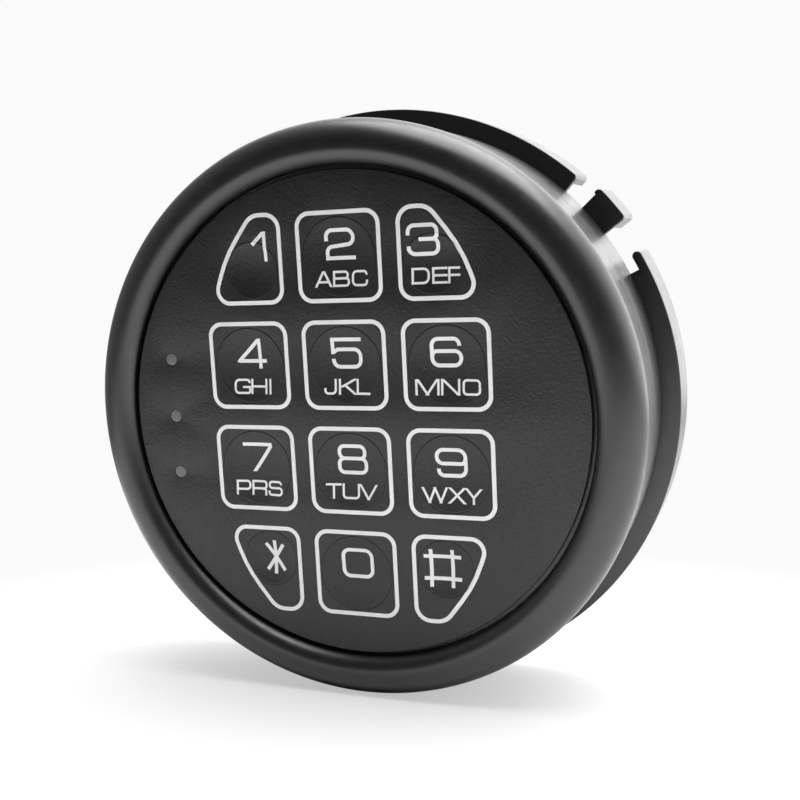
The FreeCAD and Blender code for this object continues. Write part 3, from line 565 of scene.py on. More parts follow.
# %% Light windows
def window_shell(x, z):
    """A light guide with a softly rounded end and a collar behind the web."""
    back = span("status_leds", 1)[0] - FACE_Y - 0.2
    rows = joined((0, LIGHT_SINK), (0.6, LIGHT_SINK + 0.003), (LIGHT_RADIUS - 0.1, LIGHT_SINK + 0.01),
                  arc((LIGHT_RADIUS - 0.06, LIGHT_SINK + 0.08), 0.06, 75, 0, 6), (LIGHT_RADIUS, WEB_BACK),
                  (LIGHT_RADIUS + 0.75, WEB_BACK), (LIGHT_RADIUS + 0.75, WEB_BACK + 0.5),
                  (LIGHT_RADIUS, WEB_BACK + 0.5), (LIGHT_RADIUS, back), (0, back))
    return turned_solid(rows, x, z, 48)


for place, x, z in LIGHTS:
    make_piece("lens_" + place, [window_shell(x, z)], "keypad", window_finish,
               ("light_window_" + place,))

# %% [markdown]
# ## The print
# The digits, the letters and the outlines are printed in white. A stroke is a
# line with round or sharp corners that gets a width; all strokes of a key are
# triangulated together with the key's rim, so they join cleanly, and the part
# on the key moves with the key. The ink is a real layer, a few hundredths of
# a millimetre thick, that follows the dish.

# %% Strokes
def rounded_path(corners, closed, step=0.25):
    """Points along straight runs joined by tangent arcs. A corner is x, z and a
    radius; its arc starts r * tan(turn / 2) before the corner."""
    places = np.array([corner[:2] for corner in corners], float)
    radii = [corner[2] if len(corner) > 2 else 0.0 for corner in corners]
    count, points = len(places), []
    for k in range(count):
        here, radius = places[k], radii[k]
        if not closed and k in (0, count - 1) or radius == 0:
            points.append(here)
            continue
        back, ahead = places[k - 1] - here, places[(k + 1) % count] - here
        back, ahead = back / np.linalg.norm(back), ahead / np.linalg.norm(ahead)
        opening = math.acos(np.clip(back @ ahead, -1, 1))
        reach = radius / math.tan(opening / 2)
        centre = here + (back + ahead) / np.linalg.norm(back + ahead) * radius / math.sin(opening / 2)
        first, last = here + back * reach - centre, here + ahead * reach - centre
        bends = max(3, int((math.pi - opening) / math.radians(9)))
        share = np.linspace(0, 1, bends + 1)[:, None]
        swing = math.acos(np.clip(first @ last / radius ** 2, -1, 1))
        ray = (np.sin((1 - share) * swing) * first + np.sin(share * swing) * last) / math.sin(swing)
        points.extend(centre + ray)
    if closed:
        points.append(points[0])
    dense = [points[0]]
    for a, b in zip(points[:-1], points[1:]):
        pieces = max(1, int(np.linalg.norm(b - a) / step))
        dense.extend(a + (b - a) * np.arange(1, pieces + 1)[:, None] / pieces)
    return np.array(dense[:-1] if closed else dense)


def stroke_loops(corners, width, kind="open", step=0.25):
    """Loops round a stroke: one for an open stroke, two for a closed one. The
    edge lies half the width to each side, along the mitre at a bend. A stroke
    of the kind level has its ends cut level."""
    closed = kind == "closed"
    path = rounded_path(corners, closed, step)
    ahead = (np.roll(path, -1, axis=0) - path) if closed else np.diff(path, axis=0)
    ahead = ahead / np.linalg.norm(ahead, axis=1, keepdims=True)
    before = np.roll(ahead, 1, axis=0) if closed else np.vstack((ahead[:1], ahead))
    after = ahead if closed else np.vstack((ahead, ahead[-1:]))
    normals = np.stack((-(before + after)[:, 1], (before + after)[:, 0]), axis=1)
    normals *= 2 / np.maximum((normals ** 2).sum(axis=1, keepdims=True), 1.0)
    if kind == "level":
        for end in (0, -1):
            normals[end] = (-1 / after[end][1], 0)
    left, right = path + normals * width / 2, path - normals * width / 2
    return [left, right[::-1]] if closed else [np.concatenate((left, right[::-1]))]


def in_stroke(points, loops):
    """Whether points lie in a stroke: in its one loop, or between its two."""
    hits = [inside(points, loop) for loop in loops]
    return hits[0] if len(hits) == 1 else hits[0] ^ hits[1]


# %% Ink from strokes
INK_PROUD, INK_SUNK = 0.03, 0.05


def ink_shell(flat, triangles, depth):
    """A closed layer over flat triangles: a top proud of the surface, a bottom
    sunk into it, and walls along the edges that only one triangle has."""
    used, compact = np.unique(triangles, return_inverse=True)
    triangles = compact.reshape(-1, 3)
    x, z = flat[used].T
    surface = FACE_Y + depth(x, z)
    top = np.stack((x, surface - INK_PROUD, z), axis=1)
    bottom = np.stack((x, surface + INK_SUNK, z), axis=1)
    edges = np.concatenate((triangles[:, (0, 1)], triangles[:, (1, 2)], triangles[:, (2, 0)]))
    _, index, counts = np.unique(np.sort(edges, axis=1), axis=0, return_index=True, return_counts=True)
    rim = edges[index[counts == 1]]
    count = len(used)
    walls = np.stack((rim[:, 1], rim[:, 0], rim[:, 0] + count, rim[:, 1] + count), axis=1)
    return np.concatenate((top, bottom)), [triangles, triangles[:, ::-1] + count, walls]


def print_on(strokes, x, z, radius):
    """The ink of some strokes, split at a key's rim: the part on the key, the part on the face."""
    rims = [circle(x, z, radius)(0.0), circle(x, z, radius + WINDOW_CLEARANCE)(0.01)]
    flat, triangles, _ = triangulate([loop for loops in strokes for loop in loops] + rims)
    middle = flat[triangles].mean(axis=1)
    inked = np.zeros(len(triangles), bool)
    for loops in strokes:
        inked |= in_stroke(middle, loops)
    on_key = inked & inside(middle, rims[0])
    on_face = inked & ~inside(middle, rims[1])
    shells = []
    for chosen, depth in ((on_key, lambda u, v: dish(np.hypot(u - x, v - z), radius)),
                          (on_face, lambda u, v: 0 * u)):
        shells.append([ink_shell(flat, triangles[chosen], depth)] if chosen.any() else [])
    return shells


# %% [markdown]
# ## Digits, letters and outlines
# The lettering is a plain squared type: straight runs with round corners. A
# digit is written in millimetres from its centre, a letter in a box from -1
# to 1 that is stretched to its width. Ends on the side of that box run out by
# half a stroke, so that every letter fills its box. A plain list of corners is
# an open stroke; one that closes or has its ends cut level says so.

# %% Digits
DIGIT_STROKE = 0.66
SIX = [(2.3, 1.07), (2.3, 2.27, 1.0), (-2.55, 2.27, 1.2), (-2.55, -2.27, 1.3), (2.55, -2.27, 1.2),
       (2.55, 0.17, 1.1), (-2.5, 0.17, 0.8), (-2.5, -0.7)]
DIGITS = {
    "1": [[(1.34, -2.6), (1.34, 2.6)], [(-1.13, 0.36), (1.1, 2.33)]],
    "2": [[(-2.55, 0.55), (-2.55, 2.37, 1.15), (2.45, 2.37, 1.25), (2.45, -0.02, 1.2), (-2.45, -0.5, 1.0),
           (-2.45, -2.37), (2.75, -2.37)]],
    "3": [[(-2.55, 0.77), (-2.55, 2.37, 1.1), (2.5, 2.37, 1.0), (2.5, 0.06, 0.85), (-0.7, 0.06)],
          [(0, 0.06), (2.55, 0.06, 0.85), (2.55, -2.37, 1.1), (-2.5, -2.37, 1.1), (-2.5, -1.03)]],
    "4": [[(1.73, -2.7), (1.73, 2.7)], [(1.5, 2.4), (-2.5, -1.32), (3.02, -1.32)]],
    "5": [[(2.9, 2.4), (-2.55, 2.4), (-2.55, -0.15)],
          [(-2.5, 0.15), (-1.7, 0.66, 0.5), (2.6, 0.66, 1.2), (2.6, -2.4, 1.2), (-2.5, -2.4, 1.2),
           (-2.5, -0.98)]],
    "6": [SIX],
    "7": [[(-2.95, 2.38), (2.62, 2.38), (2.62, 2.0)], ("level", [(2.62, 2.0), (-1.0, -2.7)])],
    "8": [("closed", [(2.4, 2.4, 0.95), (-2.4, 2.4, 0.95), (-2.4, 0.15, 0.95), (2.4, 0.15, 0.95)]),
          ("closed", [(2.55, 0.15, 1.0), (-2.55, 0.15, 1.0), (-2.55, -2.4, 1.0), (2.55, -2.4, 1.0)])],
    "9": [[(-p[0], -p[1], *p[2:]) for p in SIX]],
    "0": [("closed", [(2.75, 2.45, 1.25), (-2.75, 2.45, 1.25), (-2.75, -2.45, 1.25), (2.75, -2.45, 1.25)])],
    "star": [[(0, 3.16), (0, -3.16)], [(-1.75, 2.55), (1.9, -2.45)], [(1.75, 2.45), (-1.65, -2.45)]],
    "hash": [[(-2.1, 3.4), (-2.1, -3.4)], [(1.75, 3.4), (1.75, -3.4)], [(-3.38, 2.1), (3.38, 2.1)],
             [(-3.38, -1.87), (3.38, -1.87)]]}
DIGIT_PLACES = {"1": (3.23, 2.25), "2": (0.26, 2.1), "3": (-3.24, 2.19), "4": (0.24, 2.11), "5": (0.29, 2.07),
                "6": (-0.09, 2.11), "7": (0.27, 1.91), "8": (0.27, 1.98), "9": (-0.06, 1.89),
                "star": (2.31, 1.93), "0": (0.17, 1.75), "hash": (-2.34, 1.89)}

# %% Letters
LETTER_STROKE, LETTER_HEIGHT, LETTER_Z = 0.40, 2.75, -3.8
STEM, RIGHT_STEM = [(-1, 1), (-1, -1)], [(1, 1), (1, -1)]
TOP_BAR, MIDDLE_BAR, LOW_BAR = ([(-1, z), (1, z)] for z in (1, 0, -1))
LETTERS = {
    "A": [("level", [(-1, -1), (-0.1, 1)]), ("level", [(1, -1), (0.1, 1)]), [(-0.75, -0.42), (0.75, -0.42)]],
    "B": [STEM, [(-1, 1), (0.85, 1, 0.5), (0.85, 0.05, 0.5), (-1, 0.05)],
          [(-1, 0.05), (1, 0.05, 0.5), (1, -1, 0.5), (-1, -1)]],
    "C": [[(0.95, 0.45), (0.95, 1, 0.55), (-1, 1, 0.75), (-1, -1, 0.75), (1, -1, 0.6), (1, -0.4)]],
    "D": [STEM, [(-1, 1), (1, 1, 0.9), (1, -1, 0.9), (-1, -1)]],
    "E": [STEM, TOP_BAR, MIDDLE_BAR, LOW_BAR],
    "F": [STEM, TOP_BAR, MIDDLE_BAR],
    "G": [[(0.95, 0.5), (0.95, 1, 0.55), (-1, 1, 0.75), (-1, -1, 0.75), (1, -1, 0.3), (1, -0.1), (0, -0.1)]],
    "H": [STEM, RIGHT_STEM, MIDDLE_BAR],
    "I": [[(0, 1), (0, -1)]],
    "J": [[(1, 1), (1, -1, 0.6), (-1, -1, 0.6), (-1, -0.35)]],
    "K": [STEM, ("level", [(0.9, 1), (-0.85, -0.1)]), ("level", [(-0.3, 0.2), (1, -1)])],
    "L": [STEM, LOW_BAR],
    "M": [STEM, RIGHT_STEM, ("level", [(-0.85, 1), (0, -1)]), ("level", [(0.85, 1), (0, -1)])],
    "N": [STEM, RIGHT_STEM, ("level", [(-0.85, 1), (0.85, -1)])],
    "O": [("closed", [(1, 1, 0.6), (-1, 1, 0.6), (-1, -1, 0.6), (1, -1, 0.6)])],
    "P": [STEM, [(-1, 1), (1, 1, 0.6), (1, -0.25, 0.6), (-1, -0.25)]],
    "R": [STEM, [(-1, 1), (1, 1, 0.5), (1, -0.1, 0.5), (-1, -0.1)],
          [(0.4, -0.15), (0.95, -0.15, 0.4), (0.95, -1)]],
    "S": [[(0.9, 0.55), (0.9, 1, 0.5), (-0.95, 1, 0.5), (-0.95, 0.05, 0.5), (1, 0.05, 0.5), (1, -1, 0.5),
           (-1, -1, 0.5), (-1, -0.55)]],
    "T": [TOP_BAR, [(0, 1), (0, -1)]],
    "U": [[(-1, 1), (-1, -1, 0.6), (1, -1, 0.6), (1, 1)]],
    "V": [("level", [(-1, 1), (-0.03, -1)]), ("level", [(1, 1), (0.03, -1)])],
    "W": [("level", [(-1, 1), (-0.44, -1)]), ("level", [(0, 1), (-0.44, -1)]),
          ("level", [(0, 1), (0.52, -1)]), ("level", [(1, 1), (0.52, -1)])],
    "X": [("level", [(-0.9, 1), (0.95, -1)]), ("level", [(0.9, 1), (-0.95, -1)])],
    "Y": [("level", [(-0.95, 1), (0, -0.2)]), ("level", [(0.95, 1), (0, -0.2)]), [(0, 0), (0, -1)]]}
WORDS = {"2": (("A", -3.11, 3.0), ("B", 0.17, 3.15), ("C", 3.68, 3.1)),
         "3": (("D", -3.97, 3.1), ("E", -0.64, 2.75), ("F", 1.95, 2.2)),
         "4": (("G", -1.86, 3.25), ("H", 1.48, 3.3), ("I", 3.79, 0.4)),
         "5": (("J", -3.03, 2.3), ("K", 0.11, 3.2), ("L", 3.21, 2.65)),
         "6": (("M", -3.64, 4.2), ("N", 0.43, 3.4), ("O", 4.19, 3.3)),
         "7": (("P", -3.07, 2.9), ("R", 0.13, 3.1), ("S", 3.4, 3.0)),
         "8": (("T", -3.57, 2.9), ("U", -0.28, 3.3), ("V", 3.07, 3.4)),
         "9": (("W", -3.19, 4.5), ("X", 0.77, 3.0), ("Y", 3.78, 3.0))}


def kinds(strokes):
    """Every stroke as its kind and its corners."""
    return [stroke if isinstance(stroke, tuple) else ("open", stroke) for stroke in strokes]


def run_out(corners, half_width, half_height, level):
    """Corners in millimetres, with ends on the side of the box moved out by half a stroke."""
    places = [np.array((c[0] * half_width, c[1] * half_height)) for c in corners]
    for end, beside in ((0, 1), (-1, -2)):
        if max(abs(corners[end][0]), abs(corners[end][1])) == 1:
            along = places[end] - places[beside]
            along /= np.linalg.norm(along)
            reach = LETTER_STROKE / 2 / (abs(along[1]) if level else 1)
            places[end] = places[end] + along * reach
    return [(*place, *corner[2:]) for place, corner in zip(places, corners)]


def letter_strokes(letter, width, x, z):
    """Loops of one letter's strokes round a centre."""
    half_width, half_height = (width - LETTER_STROKE) / 2, (LETTER_HEIGHT - LETTER_STROKE) / 2
    strokes = []
    for kind, corners in kinds(LETTERS[letter]):
        if kind != "closed":
            corners = run_out(corners, half_width, half_height, kind == "level")
        else:
            corners = [(c[0] * half_width, c[1] * half_height, c[2]) for c in corners]
        moved = [(c[0] + x, c[1] + z, *c[2:]) for c in corners]
        strokes.append(stroke_loops(moved, LETTER_STROKE, kind, 0.2))
    return strokes


# %% Outlines round the keys
OUTLINE_STROKE, OUTLINE_HALF, OUTLINE_CORNER = 0.74, 7.5, 2.27
CORNER_OUTLINE = [(-11.08, 20.53, 2.3), (-11.08, 35.75, 2.6), (-16.4, 35.75, 3.2), (-21.97, 28.55, 25),
                  (-24.75, 20.53, 2.3)]


def outline_strokes(name):
    """A rounded square round a key, or a shape that follows the face at its four corners."""
    x, z = CELLS[name]
    if name in ("1", "3", "star", "hash"):
        side, height = -math.copysign(1, x), math.copysign(1, z)
        corners = [(side * c[0], height * c[1], c[2]) for c in CORNER_OUTLINE]
    else:
        corners = [(x + a * OUTLINE_HALF, z + b * OUTLINE_HALF, OUTLINE_CORNER)
                   for a, b in ((1, 1), (-1, 1), (-1, -1), (1, -1))]
    return [stroke_loops(corners, OUTLINE_STROKE, "closed", 3.0)]


# %% Print every key
face_ink = []
for name in KEY_NAMES:
    cell_x, cell_z = CELLS[name]
    shift_x, shift_z = DIGIT_PLACES[name]
    strokes = [stroke_loops([(c[0] + cell_x + shift_x, c[1] + cell_z + shift_z, *c[2:]) for c in corners],
                            DIGIT_STROKE, kind) for kind, corners in kinds(DIGITS[name])]
    for letter, offset, width in WORDS.get(name, ()):
        strokes += letter_strokes(letter, width, cell_x + offset, cell_z + LETTER_Z)
    x, z, outer = KEYS[name]
    on_key, on_face = print_on(strokes + outline_strokes(name), x, z, outer - KEY_COLLAR)
    make_piece("print_" + name, on_key, "button_" + name, ink_finish)
    face_ink += on_face
make_piece("print_face", face_ink, "keypad", ink_finish)

# %% [markdown]
# ## The base
# The base is a second casting that is screwed to the door: a cup with a short
# spigot, and a hollow flange round it that stands out behind the drum. At two
# o'clock two notches leave a latch tongue between them, and the rim of the
# flange runs on into one notch as a thin finger. The outlines are corners in
# polar form with a rounding, and the arcs between them are swept.

# %% Outlines of the flange
PLATE_THICK = 1.5
FLANGE_FRONT = WALL_END + 0.1
FLANGE_DRAFT, FLANGE_SKIN, FLANGE_RIM, FLANGE_EDGE = 0.1, 1.6, 1.65, 0.2
FLANGE_RADIUS = span("mounting_base", 0)[1] - FLANGE_DRAFT
CORE_FRONT = FLANGE_FRONT + FLANGE_SKIN
SPIGOT_RADIUS, SPIGOT_BORE, SPIGOT_LEAD = BORE_RADIUS - 0.1, BORE_RADIUS - 2.1, 0.5
NOTCH_RADIUS, TONGUE_RADIUS = FLANGE_RADIUS - 3.58, FLANGE_RADIUS + 1.15
RIM_INNER, EAR_FOOT = FLANGE_RADIUS - FLANGE_RIM, TONGUE_RADIUS - 1.3
NOTCH_FROM, FINGER_TO, TONGUE_FROM, TONGUE_TO, EAR_TO, NOTCH_TO = 26.1, 29.4, 35.5, 42.5, 42.95, 47.2
CLIP_ANGLES, CLIP_POCKET, CLIP_HALF, CLIP_ROOM = (90, 210, 330), 1.3, 8.2, 4.0


def polar(radius, degrees, rounding=0.0):
    """A corner given by a radius and an angle from +X towards +Z."""
    angle = math.radians(degrees)
    return radius * math.cos(angle), radius * math.sin(angle), rounding


def swept(radius, start, stop):
    """Corners less than a degree apart along an arc, ends included."""
    count = int(abs(stop - start)) + 2
    return [polar(radius, degrees) for degrees in np.linspace(start, stop, count)]


# A corner's rounding in millimetres, and how many degrees from it the arc starts.
ROUNDED, APART = 0.8, 1.2
RIM_OUTSIDE = ([polar(FLANGE_RADIUS, NOTCH_TO, ROUNDED)]
               + swept(FLANGE_RADIUS, NOTCH_TO + APART, 360 + FINGER_TO - APART)
               + [polar(FLANGE_RADIUS, FINGER_TO, ROUNDED), polar(RIM_INNER, FINGER_TO, ROUNDED)])
TONGUE_OUTSIDE = ([polar(TONGUE_RADIUS, TONGUE_FROM, ROUNDED)]
                  + swept(TONGUE_RADIUS, TONGUE_FROM + APART, EAR_TO - APART)
                  + [polar(TONGUE_RADIUS, EAR_TO, ROUNDED), polar(EAR_FOOT, EAR_TO, 0.35),
                     polar(EAR_FOOT, TONGUE_TO)])
FRONT_OUTLINE = (RIM_OUTSIDE + swept(RIM_INNER, FINGER_TO - APART, NOTCH_FROM)
                 + swept(NOTCH_RADIUS, NOTCH_FROM, TONGUE_FROM) + TONGUE_OUTSIDE
                 + swept(NOTCH_RADIUS, TONGUE_TO, NOTCH_TO))
RIM_OUTLINE = RIM_OUTSIDE + swept(RIM_INNER, 360 + FINGER_TO - APART, NOTCH_TO)
TONGUE_OUTLINE = TONGUE_OUTSIDE + swept(RIM_INNER, TONGUE_TO, TONGUE_FROM)


def grown(loop, distance):
    """A loop moved outwards: every point moves along the mitre of its two edges."""
    ahead = np.roll(loop, -1, axis=0) - loop
    ahead = ahead / np.linalg.norm(ahead, axis=1, keepdims=True)
    both = ahead + np.roll(ahead, 1, axis=0)
    normals = np.stack((both[:, 1], -both[:, 0]), axis=1)
    return loop + distance * normals * 2 / np.maximum((normals ** 2).sum(axis=1, keepdims=True), 1.0)


def outline_rim(corners, profile):
    """Rings of a plate's rim: the outline grown by a distance at each depth."""
    loop = rounded_path(corners, True, 1.5)
    return np.stack([laid(grown(loop, growth), depth) for growth, depth in profile])


# %% Cup with its spring pockets
def cup_rim():
    """Rings of the cup from the front of its plate over the spigot to the door.
    In a spring pocket the radius is that of a flat: distance / cos(angle)."""
    flat = SPIGOT_RADIUS - CLIP_POCKET
    half = math.degrees(math.atan(CLIP_HALF / flat))
    ends = [centre + side * half for centre in CLIP_ANGLES for side in (-1, 1)]
    degrees = np.sort(np.concatenate((np.arange(0, 360, 1.5), ends, ends)))
    away = np.min([np.abs((degrees - centre + 180) % 360 - 180) for centre in CLIP_ANGLES], axis=0)
    # Of two columns at one angle, the one on the pocket's side belongs to it.
    twin_before = np.append(np.diff(degrees) < 1e-9, False)
    twin_after = np.append(False, np.diff(degrees) < 1e-9)
    rising = np.isin(np.round(degrees, 6), np.round(ends[1::2], 6))
    pocket = (away < half - 1e-6) | (rising & twin_before) | (~rising & twin_after)
    sunk = np.where(pocket, flat / np.cos(np.radians(away)), SPIGOT_RADIUS)
    full = np.full(len(degrees), SPIGOT_RADIUS)
    bore = full - (SPIGOT_RADIUS - SPIGOT_BORE)
    lead = SPIGOT_FRONT + SPIGOT_LEAD
    rows = [(bore, DOOR - PLATE_THICK), (bore, SPIGOT_FRONT), (full - SPIGOT_LEAD, SPIGOT_FRONT),
            (full, lead), (sunk, lead), (sunk, lead + CLIP_ROOM), (full, lead + CLIP_ROOM), (full, DOOR)]
    angle = np.radians(degrees)
    ray = np.stack((np.cos(angle), np.sin(angle)), axis=1)
    return np.stack([laid(radius[:, None] * ray, depth) for radius, depth in rows])


# %% Base
FIXING_X, FIXING_RADIUS, FIXING_FLAT = 20.65, 2.3, 1.7
CABLE_RADIUS, BOSS_EDGE, BOSS_RADIUS = 5.2, 7.3, 7.4
PAD_RADIUS, PAD_FRONT, PAD_BACK = 6.2, DOOR - 2.5, DOOR - 1.4


def slot_loop(x):
    """A function that gives the points of a slot with round ends, grown by a distance."""
    half = np.linspace(-math.pi / 2, math.pi / 2, 25)
    ends = np.concatenate((half, half + math.pi))
    centre = np.concatenate((np.full(25, x + FIXING_FLAT), np.full(25, x - FIXING_FLAT)))

    def loop(grow):
        return np.stack((centre + (FIXING_RADIUS + grow) * np.cos(ends),
                         (FIXING_RADIUS + grow) * np.sin(ends)), axis=1)
    return loop


def base_inside():
    """Cable boss, ribs and the raised pads round the fixing slots."""
    boss = joined((CABLE_RADIUS, DOOR - 6.5), (BOSS_EDGE, DOOR - 6.5), (BOSS_RADIUS, DOOR - 6.4),
                  (BOSS_RADIUS, PAD_BACK), (CABLE_RADIUS, PAD_BACK))
    shells = [turned_ring(boss)]
    shells += [spoke(BOSS_EDGE, SPIGOT_BORE + 0.1, 1.4, DOOR - PLATE_THICK - 2.2, PAD_BACK, degrees)
               for degrees in (45, 90, 135)]
    for side in (-1, 1):
        rim = ring_points(joined((PAD_RADIUS, PAD_FRONT), (PAD_RADIUS, PAD_BACK)), side * FIXING_X, 0, 64)
        shells.append(plate(rim.reshape(2, 64, 3), [slot_loop(side * FIXING_X)], PAD_FRONT, PAD_BACK))
    return shells


def base_flange():
    """The front wall of the flange, and behind it the outer walls of the rim and the tongue."""
    turn = np.linspace(0, math.pi / 2, 5)
    rounding = np.stack((FLANGE_EDGE * (np.sin(turn) - 1),
                         FLANGE_FRONT + FLANGE_EDGE * (1 - np.cos(turn))), axis=1)
    front = joined(rounding, (0, CORE_FRONT))
    # The walls start inside the front wall, a little smaller than it.
    start, foot = CORE_FRONT - 0.5, CORE_FRONT - 0.01
    wall = joined((-0.05, start), (-0.05, foot), (0, foot), (FLANGE_DRAFT, DOOR))
    return [plate(outline_rim(FRONT_OUTLINE, front), [circle(0, 0, SPIGOT_RADIUS - 0.05, 240)],
                  FLANGE_FRONT, CORE_FRONT, 0.0),
            plate(outline_rim(RIM_OUTLINE, wall), [], start, DOOR),
            plate(outline_rim(TONGUE_OUTLINE, wall), [], start, DOOR)]


base_windows = [circle(0, 0, CABLE_RADIUS), slot_loop(-FIXING_X), slot_loop(FIXING_X)]
cup = plate(cup_rim(), base_windows, DOOR - PLATE_THICK, DOOR)
make_piece("base", [cup] + base_flange() + base_inside(), "base", base_black,
           ("mounting_base",))

# %% [markdown]
# ## What is inside
# The pieces behind the face stay as the CAD model has them and only get their
# finish: rubber, circuit board, metal and moulded plastic, each with the
# small unevenness that the real material has.

# %% Finishes of the inner pieces
def mottled(name, colour, roughness, size_mm, height_um, metallic=0.0, stretch=(1, 1, 1)):
    """A finish whose colour, gloss and height vary a little at one grain size."""
    finish = new_finish(name, colour, roughness, metallic)
    tint(finish, noise(finish, 2 * size_mm), tuple(0.85 * c for c in colour),
         tuple(min(1.0, 1.12 * c) for c in colour))
    vary(finish, noise(finish, size_mm), 0.85 * roughness, 1.15 * roughness)
    emboss(finish, height_um, noise(finish, size_mm, 3.0, stretch))
    return finish


INNER_LOOKS = {
    "mat_rubber": ((0.25, 0.26, 0.27), 0.7, 0.4, 8),
    "dome_steel": ((0.7, 0.7, 0.7), 0.22, 0.5, 1, 1.0),
    "board_green": ((0.02, 0.16, 0.07), 0.35, 0.8, 6),
    "lamp_resin": ((0.8, 0.8, 0.76), 0.15, 0.6, 2),
    "screw_steel": ((0.6, 0.6, 0.58), 0.32, 0.3, 3, 1.0, (1, 6, 1)),
    "socket_plastic": ((0.02, 0.02, 0.02), 0.35, 0.5, 6),
    "contact_brass": ((0.78, 0.6, 0.25), 0.25, 0.3, 1, 1.0),
    "chip_resin": ((0.025, 0.025, 0.025), 0.55, 0.15, 6),
    "buzzer_plastic": ((0.02, 0.02, 0.02), 0.45, 0.3, 6),
    "capacitor_can": ((0.75, 0.75, 0.77), 0.3, 0.4, 2, 1.0, (1, 0.1, 1)),
    "tray_plastic": ((0.06, 0.06, 0.065), 0.5, 0.3, 10),
    "battery_can": ((0.3, 0.31, 0.33), 0.38, 1.5, 4, 0.5),
    "connector_plastic": ((0.02, 0.02, 0.02), 0.4, 0.3, 5),
    "spring_steel": ((0.65, 0.65, 0.66), 0.28, 0.3, 2, 1.0, (6, 1, 6))}
INNER = {name: mottled(name, *look) for name, look in INNER_LOOKS.items()}
for row in frame["record"]["subparts"]:
    if row["material_slot"] in INNER:
        node = bpy.data.objects[row["node"]]
        node.data.materials.clear()
        node.data.materials.append(INNER[row["material_slot"]])
print("inner finishes:", len(INNER))

# %% [markdown]
# ## Floor, world and light
# The keypad stands on its rim on a white floor. The flange is wider than the
# bezel, so the keypad leans back a little; its own frame stays upright, and
# the floor is tilted instead. It ends just behind the camera, and it fades into
# the background, which the camera sees as an even near white. To the keypad
# the room glows on the right behind it and is dim in front, with a shade above
# the camera; that is what its black coat reflects.

# %% Floor
TABLE_LEFT, TABLE_FRONT, TABLE_REACH = -0.2, -0.22, 3.0
FADE_START, FADE_END, FADE_LEAST = 0.03, 0.16, 0.5
BACKGROUND = 0.96
# The floor touches the round of the bezel and the front edge of the flange:
# with the tilt t, centre * cos t - depth * sin t + rounding = flange * cos t - its depth * sin t.
across = FLANGE_RADIUS - RING_CENTRE
along = FLANGE_FRONT - RING_DEPTH
FLOOR_TILT = math.acos(RING_ROUND / math.hypot(across, along)) - math.atan2(along, across)
support = RING_CENTRE * math.cos(FLOOR_TILT) - RING_DEPTH * math.sin(FLOOR_TILT) + RING_ROUND
print("floor tilt:", round(math.degrees(FLOOR_TILT), 2), "degrees")


def floor_finish():
    """White floor that fades into the even background away from the keypad."""
    finish = new_finish("floor_white", (0.9, 0.9, 0.9), 0.8)
    nodes = finish.node_tree.nodes
    distance = add_node(finish, "ShaderNodeVectorMath")
    distance.operation = "DISTANCE"
    distance.inputs[1].default_value = (0, 0, -support * MM)
    fade = smooth_step(finish, distance, FADE_START, FADE_END, FADE_LEAST, 1.0)
    light = add_node(finish, "ShaderNodeEmission", Color=(BACKGROUND,) * 3 + (1,), Strength=1.0)
    seen = add_node(finish, "ShaderNodeMath")
    seen.operation = "MULTIPLY"
    mix = add_node(finish, "ShaderNodeMixShader")
    wire(finish, add_node(finish, "ShaderNodeTexCoord"), "Object", distance, 0)
    wire(finish, fade, "Result", seen, 0)
    wire(finish, add_node(finish, "ShaderNodeLightPath"), "Is Camera Ray", seen, 1)
    wire(finish, seen, "Value", mix, 0)
    wire(finish, nodes["Principled BSDF"], "BSDF", mix, 1)
    wire(finish, light, "Emission", mix, 2)
    wire(finish, mix, "Shader", nodes["Material Output"], "Surface")
    return finish


floor_mesh = bpy.data.meshes.new("floor")
corners = []
for x, y in ((TABLE_LEFT, TABLE_FRONT), (TABLE_REACH, TABLE_FRONT),
             (TABLE_REACH, TABLE_REACH), (TABLE_LEFT, TABLE_REACH)):
    depth = y / MM - FACE_Y
    corners.append((x, y, -(support + depth * math.sin(FLOOR_TILT)) / math.cos(FLOOR_TILT) * MM))
floor_mesh.from_pydata(corners, [], [(0, 1, 2, 3)])
floor_mesh.materials.append(floor_finish())
floor = bpy.data.objects.new("floor", floor_mesh)
bpy.context.scene.collection.objects.link(floor)

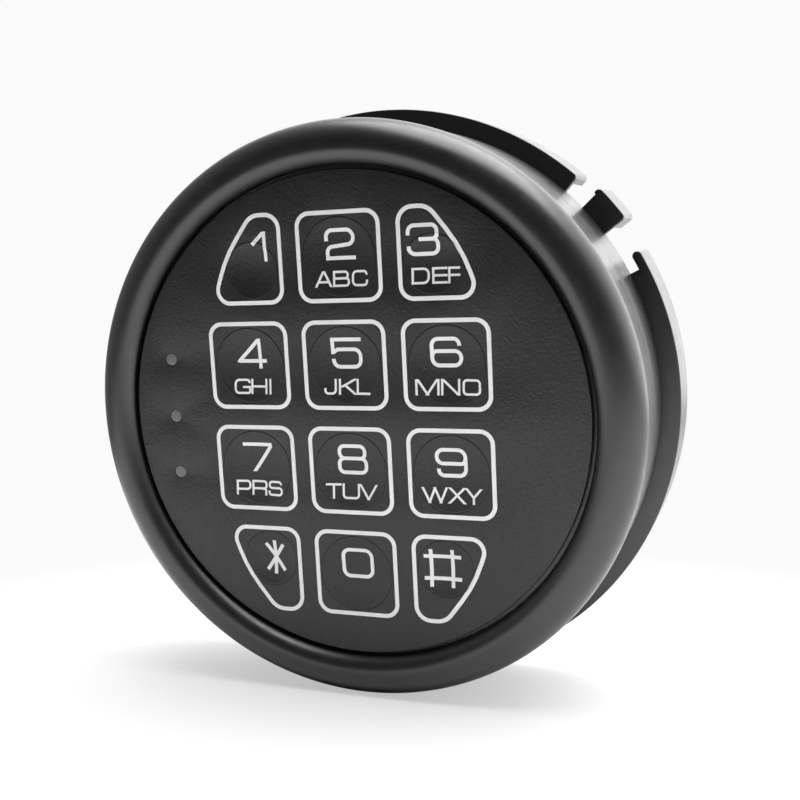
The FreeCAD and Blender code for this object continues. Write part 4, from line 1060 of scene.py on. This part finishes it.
# %% World
# A direction, where along it a step starts and ends, and its values before and after.
GLOW = ((0.45, 0.85, 0.25), 0.1, 1.0, 0.36, 2.6)
SHADE = ((0.0, -0.87, 0.5), 0.45, 0.85, 1.0, 0.25)


def stepped(world, towards, *step):
    """A smooth step of the product direction . towards."""
    along = add_node(world, "ShaderNodeVectorMath")
    along.operation = "DOT_PRODUCT"
    along.inputs[1].default_value = towards
    wire(world, add_node(world, "ShaderNodeTexCoord"), "Generated", along, 0)
    return smooth_step(world, along, *step)


def set_world():
    """Even background to the camera. To the object the room glows towards the right
    behind it, and a shade hangs in front of it: strength = glow * shade."""
    world = bpy.data.worlds.new("studio")
    world.use_nodes = True
    bpy.context.scene.world = world
    strength = add_node(world, "ShaderNodeMath")
    strength.operation = "MULTIPLY"
    room = world.node_tree.nodes["Background"]
    room.inputs["Color"].default_value = (1.0, 1.0, 1.0, 1)
    backdrop = add_node(world, "ShaderNodeBackground", Color=(BACKGROUND,) * 3 + (1,))
    mix = add_node(world, "ShaderNodeMixShader")
    wire(world, stepped(world, *GLOW), "Result", strength, 0)
    wire(world, stepped(world, *SHADE), "Result", strength, 1)
    wire(world, strength, "Value", room, "Strength")
    wire(world, add_node(world, "ShaderNodeLightPath"), "Is Camera Ray", mix, 0)
    wire(world, room, "Background", mix, 1)
    wire(world, backdrop, "Background", mix, 2)
    wire(world, mix, "Shader", world.node_tree.nodes["World Output"], "Surface")


set_world()

# %% Soft lamp overhead
def soft_lamp(name, place, target, size, watts):
    """A square area lamp that points at a spot and that the camera doesn't see."""
    lamp = bpy.data.lights.new(name, "AREA")
    lamp.size = size
    lamp.energy = watts
    holder = bpy.data.objects.new(name, lamp)
    bpy.context.scene.collection.objects.link(holder)
    direction = Vector(target) - Vector(place)
    holder.matrix_world = Matrix.Translation(place) @ direction.to_track_quat("-Z", "Y").to_matrix().to_4x4()
    holder.visible_camera = False


soft_lamp("overhead", (0.12, 0.05, 0.6), (0.02, 0, 0), 0.6, 6.0)
